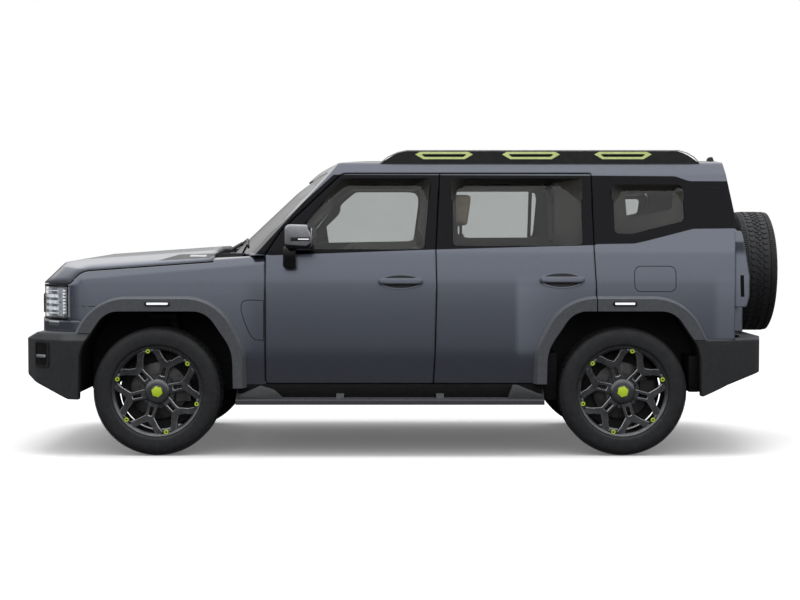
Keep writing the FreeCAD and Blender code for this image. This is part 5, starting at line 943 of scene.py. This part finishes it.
lamp_grey = finish(
    "lamp_grey", (0.2, 0.21, 0.23), (0.42, 0.43, 0.46), 90, (0.12, 0.25), metallic=0.8)
lamp_crystal = finish(
    "lamp_crystal", (0.26, 0.27, 0.3), (0.92, 0.94, 1.0), 42, (0.05, 0.2), metallic=0.5,
    Emission_Color=(1, 1, 1), Emission_Strength=0.16)
lamp_end = side_skin("fender_left headlamps", -2.046, 0.92, -0.84)
lamp_path = [
    (-2.214, -0.61), (-2.203, -0.655), (-2.192, -0.7), (-2.172, -0.74), (-2.14, -0.771),
    (-2.106, -0.799), (-2.07, -0.826), (-2.046, lamp_end)]
both_sides(plan_strip(lamp_path, 0.838, 1.006, 0.0005, 0.002), "lamp_reflector", lamp_grey)
frame_form = plan_strip(lamp_path, 1.014, 1.028, 0.0005, 0.024, 0.002)
join(frame_form, plan_strip(lamp_path, 0.818, 0.83, 0.0005, 0.024, 0.002))
join(frame_form, plan_strip(lamp_path[-2:], 0.83, 1.014, 0.0005, 0.0045))
both_sides(frame_form, "lamp_frame", gloss_black)
bars = bmesh.new()
for low, tall, thick, edge in (
        (0.872, 0.022, 0.012, 0.005), (0.91, 0.022, 0.012, 0.005), (0.948, 0.022, 0.012, 0.005),
        (0.988, 0.006, 0.01, 0.001), (0.85, 0.008, 0.01, 0.001)):
    join(bars, plan_strip(lamp_path[1:6], low, low + tall, 0.004, thick, edge))
both_sides(bars, "lamp_bars", lamp_crystal)
dots = bmesh.new()
for index in range(8):
    low = 0.852 + index * 0.019
    join(dots, bar((-2.08, -0.84, low), (-2.066, -0.824, low + 0.012), 0.003))
both_sides(dots, "lamp_dots", glow)
both_sides(plan_strip(lamp_path, 0.826, 1.018, 0.021, 0.002), "lamp_cover", lamp_lens)
print("headlamps made")

# %% Make the bumper details
bumper = "front_bumper"
well_outer = rounded((-2.262, 0.528), (-2.158, 0.688), 0.022)
well_inner = rounded((-2.25, 0.542), (-2.172, 0.676), 0.014)
well_rim = ring_plate(well_outer, well_inner, 0.002, -0.006)
both_sides(drape(well_rim, bumper), "bumper_well_rim", satin_black)
well_floor = cut_fine(plate(well_inner, 0.001, -0.001), 0.02, -2.25, -2.172)
both_sides(drape(well_floor, bumper), "bumper_well", shut_line)
hook = plate(rounded((-2.246, 0.588), (-2.178, 0.606), 0.007), 0.0, -0.012, 0.003)
both_sides(drape(cut_fine(hook, 0.02, -2.246, -2.178), bumper), "bumper_hook", silver)
chrome_path = [
    (x, side_skin("front_fascia", x, 0.797, y)) for x, y in ((-2.176, -0.773), (-2.104, -0.824))]
both_sides(plan_strip(chrome_path, 0.78, 0.808, 0.001, 0.006, 0.002), "lamp_lip", chrome)
print("bumper details made")

# %% [markdown]
# ## Mirrors and roof rails
# Each mirror gets a cap over a black shell, with a slot for the turn light and a real mirror
# face. The cap's paler grey is a painted highlight. Each rail gets a silver top edge and three lime
# frames with pointed ends, and the lime glows a little, which is painted light.

# %% Make the mirrors
# Painted highlight: the cap is a paler copy of the slate paint, for the light that falls on it.
mirror_cap_highlight = finish(
    "mirror_cap_paint", (0.27, 0.275, 0.3), (0.34, 0.345, 0.37), 60, (0.28, 0.36), metallic=0.35,
    Coat_Weight=0.8, Coat_Roughness=0.05)
shell = bar((-0.722, -1.1035, 1.246), (-0.57, -0.958, 1.389), 0.022, 4)
join(shell, bar((-0.742, -1.0, 1.13), (-0.664, -0.905, 1.262), 0.018, 3))
join(shell, bar((-0.738, -0.93, 1.15), (-0.668, -0.88, 1.236), 0.008, 2))
cap = plate(
    [(-0.7235, 1.272), (-0.7, 1.262), (-0.59, 1.256), (-0.5665, 1.285), (-0.568, 1.325),
    (-0.588, 1.386), (-0.7, 1.3895), (-0.7235, 1.372)], -1.1048, -0.955, 0.012, 3)
slot_form = bar((-0.69, -1.1049, 1.288), (-0.574, -1.09, 1.316), 0.003)
lamp_form = bar((-0.646, -1.10495, 1.297), (-0.578, -1.095, 1.307), 0.002)
face_form = bar((-0.5695, -1.086, 1.268), (-0.5655, -0.974, 1.368), 0.0015)
both_sides(shell, "mirror_shell", gloss_black, "door_front_{}", 40, replaced="mirror_{}")
both_sides(cap, "mirror_cap", mirror_cap_highlight, "door_front_{}", 40)
both_sides(slot_form, "mirror_slot", satin_black, "door_front_{}")
both_sides(lamp_form, "mirror_lamp", glow, "door_front_{}")
both_sides(face_form, "mirror_face", chrome, "door_front_{}")

# %% Make the rail details
rail_top = [
    (-0.165, 1.768), (-0.12, 1.806), (-0.06, 1.833), (-0.005, 1.8455), (1.665, 1.8455),
    (1.715, 1.832), (1.76, 1.806), (1.792, 1.772)]
edge_form = line_on(spread(rail_top, 0.06), 0.0065, "roof_rails", rail_side, 0.001)
both_sides(edge_form, "rail_edge", silver)
for number, (low, high) in enumerate(((0.048, 0.403), (0.582, 0.937), (1.148, 1.5))):
    outer = [
        (low, 1.822), (low + 0.03, 1.838), (high - 0.03, 1.838), (high, 1.822),
        (high - 0.05, 1.793), (low + 0.05, 1.793)]
    inner = [
        (low + 0.04, 1.819), (low + 0.048, 1.8245), (high - 0.048, 1.8245), (high - 0.04, 1.819),
        (high - 0.06, 1.8065), (low + 0.06, 1.8065)]
    insert = ring_plate(outer, inner, 0.002, -0.0035)
    both_sides(
        drape(insert, "roof_rails", rail_side), f"rail_insert_{number}", glowing_rail_lime,
        smooth_angle=20)
    slit = plate(
        [(low + 0.04, 1.82), (high - 0.04, 1.82), (high - 0.058, 1.808), (low + 0.058, 1.808)],
        0.0, -0.002)
    both_sides(drape(slit, "roof_rails", rail_side), f"rail_slit_{number}", shut_line)
print("mirrors and rails dressed")

# %% [markdown]
# ## Roof aerial
# A short aerial stands at the back of the roof. It is a small wedge with soft edges.

# %% Make the roof aerial
aerial = plate(
    [(1.952, 1.79), (1.958, 1.826), (1.972, 1.837), (1.992, 1.837), (2.01, 1.79)], -0.016, 0.016,
    0.004, 3)
make_piece(aerial, "roof_aerial", moulded, "body")
print("aerial on the roof")

# %% [markdown]
# ## Window surrounds
# Behind each pane the door has a dark inner frame with rounded corners, and the rear quarter has a
# deep lining that leaves only a small slot of light.

# %% Make the window surrounds
def fit_count(outline, count):
    """The same outline with a set number of evenly spaced corners."""
    closed = list(outline) + [outline[0]]
    lengths = [0.0]
    for start, end in zip(closed, closed[1:]):
        lengths.append(lengths[-1] + (Vector(end) - Vector(start)).length)
    result = []
    for index in range(count):
        goal = lengths[-1] * index / count
        piece = max(number for number, length in enumerate(lengths[:-1]) if length <= goal + 1e-9)
        span = lengths[piece + 1] - lengths[piece]
        share = (goal - lengths[piece]) / span if span else 0.0
        start, end = Vector(closed[piece]), Vector(closed[piece + 1])
        result.append(tuple(start.lerp(end, share)))
    return result


window_liner = finish(
    "window_liner", (0.03, 0.028, 0.024), (0.045, 0.042, 0.036), 40, (0.6, 0.7), bump=(0.2, 900))


def window_trim(name, pane, outline, opening, body="body", count=48, depth=0.022):
    """A frame just inside a pane, between the pane's outline and a smaller opening."""
    form = ring_plate(fit_count(outline, count), fit_count(opening, count), depth, depth + 0.006)
    both_sides(drape(form, pane, glass_side), name, window_liner, body)


print("window liner made")

# %% Fit the window surrounds
front_pane = [(-0.735, 1.236), (-0.395, 1.672), (0.142, 1.672), (0.098, 1.252)]
front_gap = [
    (-0.545, 1.278), (-0.56, 1.392), (-0.528, 1.418), (-0.462, 1.482), (-0.458, 1.54),
    (-0.352, 1.627), (0.04, 1.627), (0.076, 1.612), (0.084, 1.575), (0.082, 1.54), (0.051, 1.3),
    (0.036, 1.288)]
rear_pane = [(0.266, 1.252), (0.266, 1.672), (1.062, 1.672), (1.063, 1.256)]
rear_gap = [
    (0.376, 1.31), (0.32, 1.318), (0.296, 1.345), (0.296, 1.56), (0.306, 1.61), (0.35, 1.631),
    (0.86, 1.631), (0.892, 1.618), (0.902, 1.585), (0.888, 1.345), (0.878, 1.322), (0.855, 1.313)]
quarter_pane = [
    (1.245, 1.33), (1.24, 1.632), (1.64, 1.632), (1.678, 1.598), (1.682, 1.412), (1.648, 1.398),
    (1.358, 1.33)]
quarter_gap = [
    (1.345, 1.428), (1.332, 1.44), (1.327, 1.568), (1.338, 1.58), (1.606, 1.58), (1.618, 1.57),
    (1.612, 1.492), (1.604, 1.482)]
window_trim("front_window_trim", "glass_front_left", front_pane, front_gap, "door_front_{}")
window_trim("rear_window_trim", "glass_rear_left", rear_pane, rear_gap, "door_rear_{}")
window_trim("quarter_lining", "quarter_windows", quarter_pane, quarter_gap)
divider = line_on(
    spread([(0.862, 1.256), (0.862, 1.668)]), 0.024, "glass_rear_left", glass_side, 0.003)
both_sides(divider, "window_divider", satin_black, "door_rear_{}")
print("window surrounds fitted")

# %% [markdown]
# ## Padded seats
# A seat is foam under stitched leather, so each cushion is a grid that is domed, raised into side
# bolsters and pulled in along its seams. The shapes are worked out from formulas, because they
# hardly sag under their own weight.

# %% Sew the seats
leather = finish(
    "seat_leather", (0.5, 0.405, 0.305), (0.6, 0.495, 0.38), 30, (0.42, 0.56), bump=(0.55, 850),
    Coat_Weight=0.06)
seat_shell = finish(
    "seat_shell", (0.02, 0.019, 0.018), (0.032, 0.03, 0.028), 50, (0.5, 0.62), bump=(0.3, 700))


def cushion(width, length, thick, bolster=0.0, crown=0.012, cross_seams=3, count=40):
    """A cushion lying flat: width along Y, length along X, its back at z = 0."""
    form = bmesh.new()
    ops.create_grid(form, x_segments=count, y_segments=count, size=0.5)
    under = set(extrude(form, (0, 0, 0)))
    seams = [(index + 1) / (cross_seams + 1) * 1.6 - 0.8 for index in range(cross_seams)]
    for vertex in form.verts:
        along, across = vertex.co.x * 2, vertex.co.y * 2
        squeeze = 1 - 0.1 * max(abs(along), abs(across)) ** 8 * min(abs(along), abs(across)) ** 4
        fall = (1 - abs(along) ** 7) * (1 - abs(across) ** 7)
        edge = max(fall, 0.0) ** 0.35
        if vertex in under:
            height = 0.16 * thick * (1 - edge)
        else:
            side = min(max((abs(across) - 0.58) / 0.24, 0.0), 1.0)
            side = side * side * (3 - 2 * side)
            height = thick * (0.34 + 0.66 * edge) + crown * (1 - along ** 2) * (1 - across ** 2)
            height += bolster * side * edge * (1 - 0.35 * along ** 2)
            groove = math.exp(-(((abs(across) - 0.6) / 0.022) ** 2))
            for seam in seams:
                if abs(across) < 0.6:
                    groove = max(groove, 0.8 * math.exp(-(((along - seam) / 0.028) ** 2)))
            height -= 0.007 * groove * edge
        vertex.co = (along * length / 2 * squeeze, across * width / 2 * squeeze, height)
    return form


def lean_matrix(x, y, z, angle):
    """Stands a flat cushion up so that its top leans back by an angle, facing forward."""
    return moved(x, y, z) @ turned(angle - 90)


def sewn(form, name, matrix, replaced):
    """A leather cushion, put in its place."""
    ops.transform(form, matrix=matrix, verts=form.verts)
    return make_piece(form, name, leather, "body", 60, replaced=replaced)


print("leather and seat shells ready")

# %% Place the seats and their frames
front_lean, bench_lean, rest_lean = 15.5, 16.5, 8
frames = bmesh.new()
for side, sign in (("left", -1), ("right", 1)):
    middle, bench = sign * 0.395, sign * 0.272
    flat = moved(-0.135, middle, 0.635) @ turned(3)
    back = lean_matrix(0.222, middle, 1.055, front_lean)
    rest = lean_matrix(0.388, middle, 1.48, rest_lean)
    bench_flat = moved(0.7, bench, 0.65)
    bench_back = lean_matrix(0.985, bench, 0.985, bench_lean)
    bench_rest = lean_matrix(1.098, bench, 1.345, rest_lean)
    stands_for = ("front_seats", "rear_seat") if side == "left" else (None, None)
    for name, sizes, matrix, fill, replaced in (
            ("seat_cushion", (0.47, 0.48, 0.095, 0.028), flat, 0.75, stands_for[0]),
            ("seat_back", (0.46, 0.64, 0.085, 0.034, 0.012, 4), back, 0.75, None),
            ("head_rest", (0.255, 0.19, 0.11, 0.004, 0.016, 0, 24), rest, 0.85, None),
            ("bench_cushion", (0.53, 0.44, 0.085, 0.01, 0.012, 2), bench_flat, 0.75,
            stands_for[1]), ("bench_back", (0.53, 0.56, 0.08, 0.012), bench_back, 0.75, None),
            ("bench_rest", (0.25, 0.12, 0.06, 0.0, 0.01, 0, 24), bench_rest, 0.85, None)):
        sewn(cushion(*sizes), f"{name}_{side}", matrix, replaced)
    join(frames, bar((-0.34, middle - 0.215, 0.56), (0.1, middle + 0.215, 0.642), 0.02))
    for rail in (middle - 0.17, middle + 0.17):
        join(frames, bar((-0.33, rail - 0.022, 0.4655), (0.12, rail + 0.022, 0.56), 0.006))
    hull = bar((-0.3, middle - 0.215, 0.0), (0.3, middle + 0.215, 0.026), 0.012, 3)
    behind = moved(0.032, 0, -0.008) @ lean_matrix(0.222, 0, 1.055, front_lean)
    join(frames, hull, behind @ moved(0, 0, -0.02))
    for post in (-0.055, 0.055):
        for x, y, low, high, radius in (
                (0.338, middle, 1.315, 1.455, 0.007), (1.086, bench, 1.23, 1.32, 0.006)):
            join(frames, rod_between((x, y + post, low), (x, y + post, high), radius, 16))
join(frames, bar((0.5, -0.53, 0.4655), (0.93, 0.53, 0.652), 0.02))
make_piece(frames, "seat_frames", seat_shell, "body", 40)
print("seats sewn")

# %% [markdown]
# ## Tail and underside
# The tail lamps show a dark slot from the side and a red lens from behind. Black guards stand
# before and behind the rear wheels, and three cross members close the view under the floor, as
# the running gear does on the real vehicle. The step gets ribs, an edge and end wedges.

# %% Make the tail lamps
lens_back = 2.0595
lens = bmesh.new()
for low, high in ((0.96, 1.073), (1.15, 1.325)):
    join(lens, bar((2.04, -0.848, low), (2.0615, -0.722, high), 0.004))
for vertex in lens.verts:
    start = (3, vertex.co.y, vertex.co.z)
    vertex.co.x += skin_at("tail_lamps", start, (-1, 0, 0), 2.05) - lens_back
both_sides(lens, "tail_lens", smoked_lens)
slot_path = spread([(2.02, 0.955), (2.016, 1.085)], 0.02)
both_sides(line_on(slot_path, 0.022, "tail_lamps", -0.868, 0.0005), "tail_slot", gloss_black)
corner_line = spread([(1.926, 1.64), (1.945, 1.37)])
both_sides(line_on(corner_line, 0.004, "body_side_left"), "corner_line", shut_line)
for number, (x, z) in enumerate(((1.868, 1.615), (1.88, 1.392))):
    vent_form = plate(
        rounded((x - 0.036, z - 0.007), (x + 0.036, z + 0.007), 0.006), 0.001, -0.0012)
    both_sides(drape(vent_form, "body_side_left"), f"corner_slot_{number}", shut_line)
print("tail made")

# %% Close the arches and dress the step
guards = bmesh.new()
for low, high, foot, top in ((0.79, 0.902, 0.33, 0.62), (1.694, 1.76, 0.38, 0.6)):
    join(guards, bar((low, -0.88, foot), (high, -0.6, top), 0.008))
both_sides(guards, "arch_guards", shut_line)
cross_members = bmesh.new()
for low, high, foot, top in (
        (-1.995, -1.895, 0.352, 0.6), (-1.28, -1.04, 0.345, 0.6), (0.84, 1.01, 0.345, 0.56)):
    join(cross_members, bar((low, -0.365, foot), (high, 0.365, top), 0.012))
make_piece(cross_members, "cross_members", chassis_black)
step_front, step_rear = -1.02, 0.812
edge_form = bar((step_front, -0.9848, 0.318), (step_rear, -0.962, 0.34), 0.005, 3)
both_sides(edge_form, "step_edge", satin_black)
skirt = bar((step_front, -0.9145, 0.3455), (step_rear, -0.8955, 0.431), 0.004)
both_sides(skirt, "sill_skirt", shut_line)
tread_form = bmesh.new()
for index in range(30):
    x = -0.9 + index * 0.055
    join(tread_form, bar((x, -0.955, 0.3435), (x + 0.03, -0.905, 0.3485), 0.0015, 1))
both_sides(tread_form, "step_ribs", moulded)
step_ends = {
    "front": [(-1.014, 0.345), (-1.006, 0.37), (-0.88, 0.424), (-0.8, 0.4), (-0.74, 0.345)],
    "rear": [(0.6, 0.345), (0.63, 0.428), (0.66, 0.428), (0.8, 0.372), (0.808, 0.345)]}
for place, outline in step_ends.items():
    both_sides(plate(outline, -0.955, -0.902, 0.006), f"step_end_{place}", step_grey)
print("arches and step done")


# %% Lay the bonnet vents and the wipers
skin = "hood fender_left"
wedge = spread([(-1.515, 1.172), (-1.141, 1.194), (-1.136, 1.217), (-1.405, 1.208)], 0.03)
wedge_form = cut_at(plate(wedge, 0.001, -0.003), [-1.5 + 0.03 * index for index in range(13)])
both_sides(drape(wedge_form, skin, hood_side), "bonnet_vent", satin_black, "hood")
strip_form = plate(rounded((-1.33, 1.196), (-1.226, 1.207), 0.003), -0.003, -0.0045)
both_sides(
    drape(cut_fine(strip_form, 0.02, -1.33, -1.226), skin, hood_side), "bonnet_vent_strip", silver,
    "hood")


def off_screen(y, z, gap):
    """A point at a gap before the windscreen."""
    return (skin_at("windscreen", (-3, y, z), (1, 0, 0), -1.03) - gap, y, z)


wipers = bmesh.new()
for root in (-0.6, -0.02):
    sweep = ((0.02, 1.262), (0.3, 1.3), (0.56, 1.29))
    blade = [off_screen(root + along, z, 0.012) for along, z in sweep]
    pivot = (-1.115, root + 0.04, 1.222)
    elbow = off_screen(root + 0.18, 1.275, 0.03)
    foot, head = (*pivot[:2], 1.19), (*pivot[:2], 1.24)
    for start, end, radius in (
            (blade[0], blade[1], 0.008), (blade[1], blade[2], 0.008), (pivot, elbow, 0.011),
            (elbow, blade[1], 0.007), (foot, head, 0.02)):
        join(wipers, rod_between(start, end, radius))
make_piece(wipers, "wipers", satin_black)
print("vents and wipers laid")
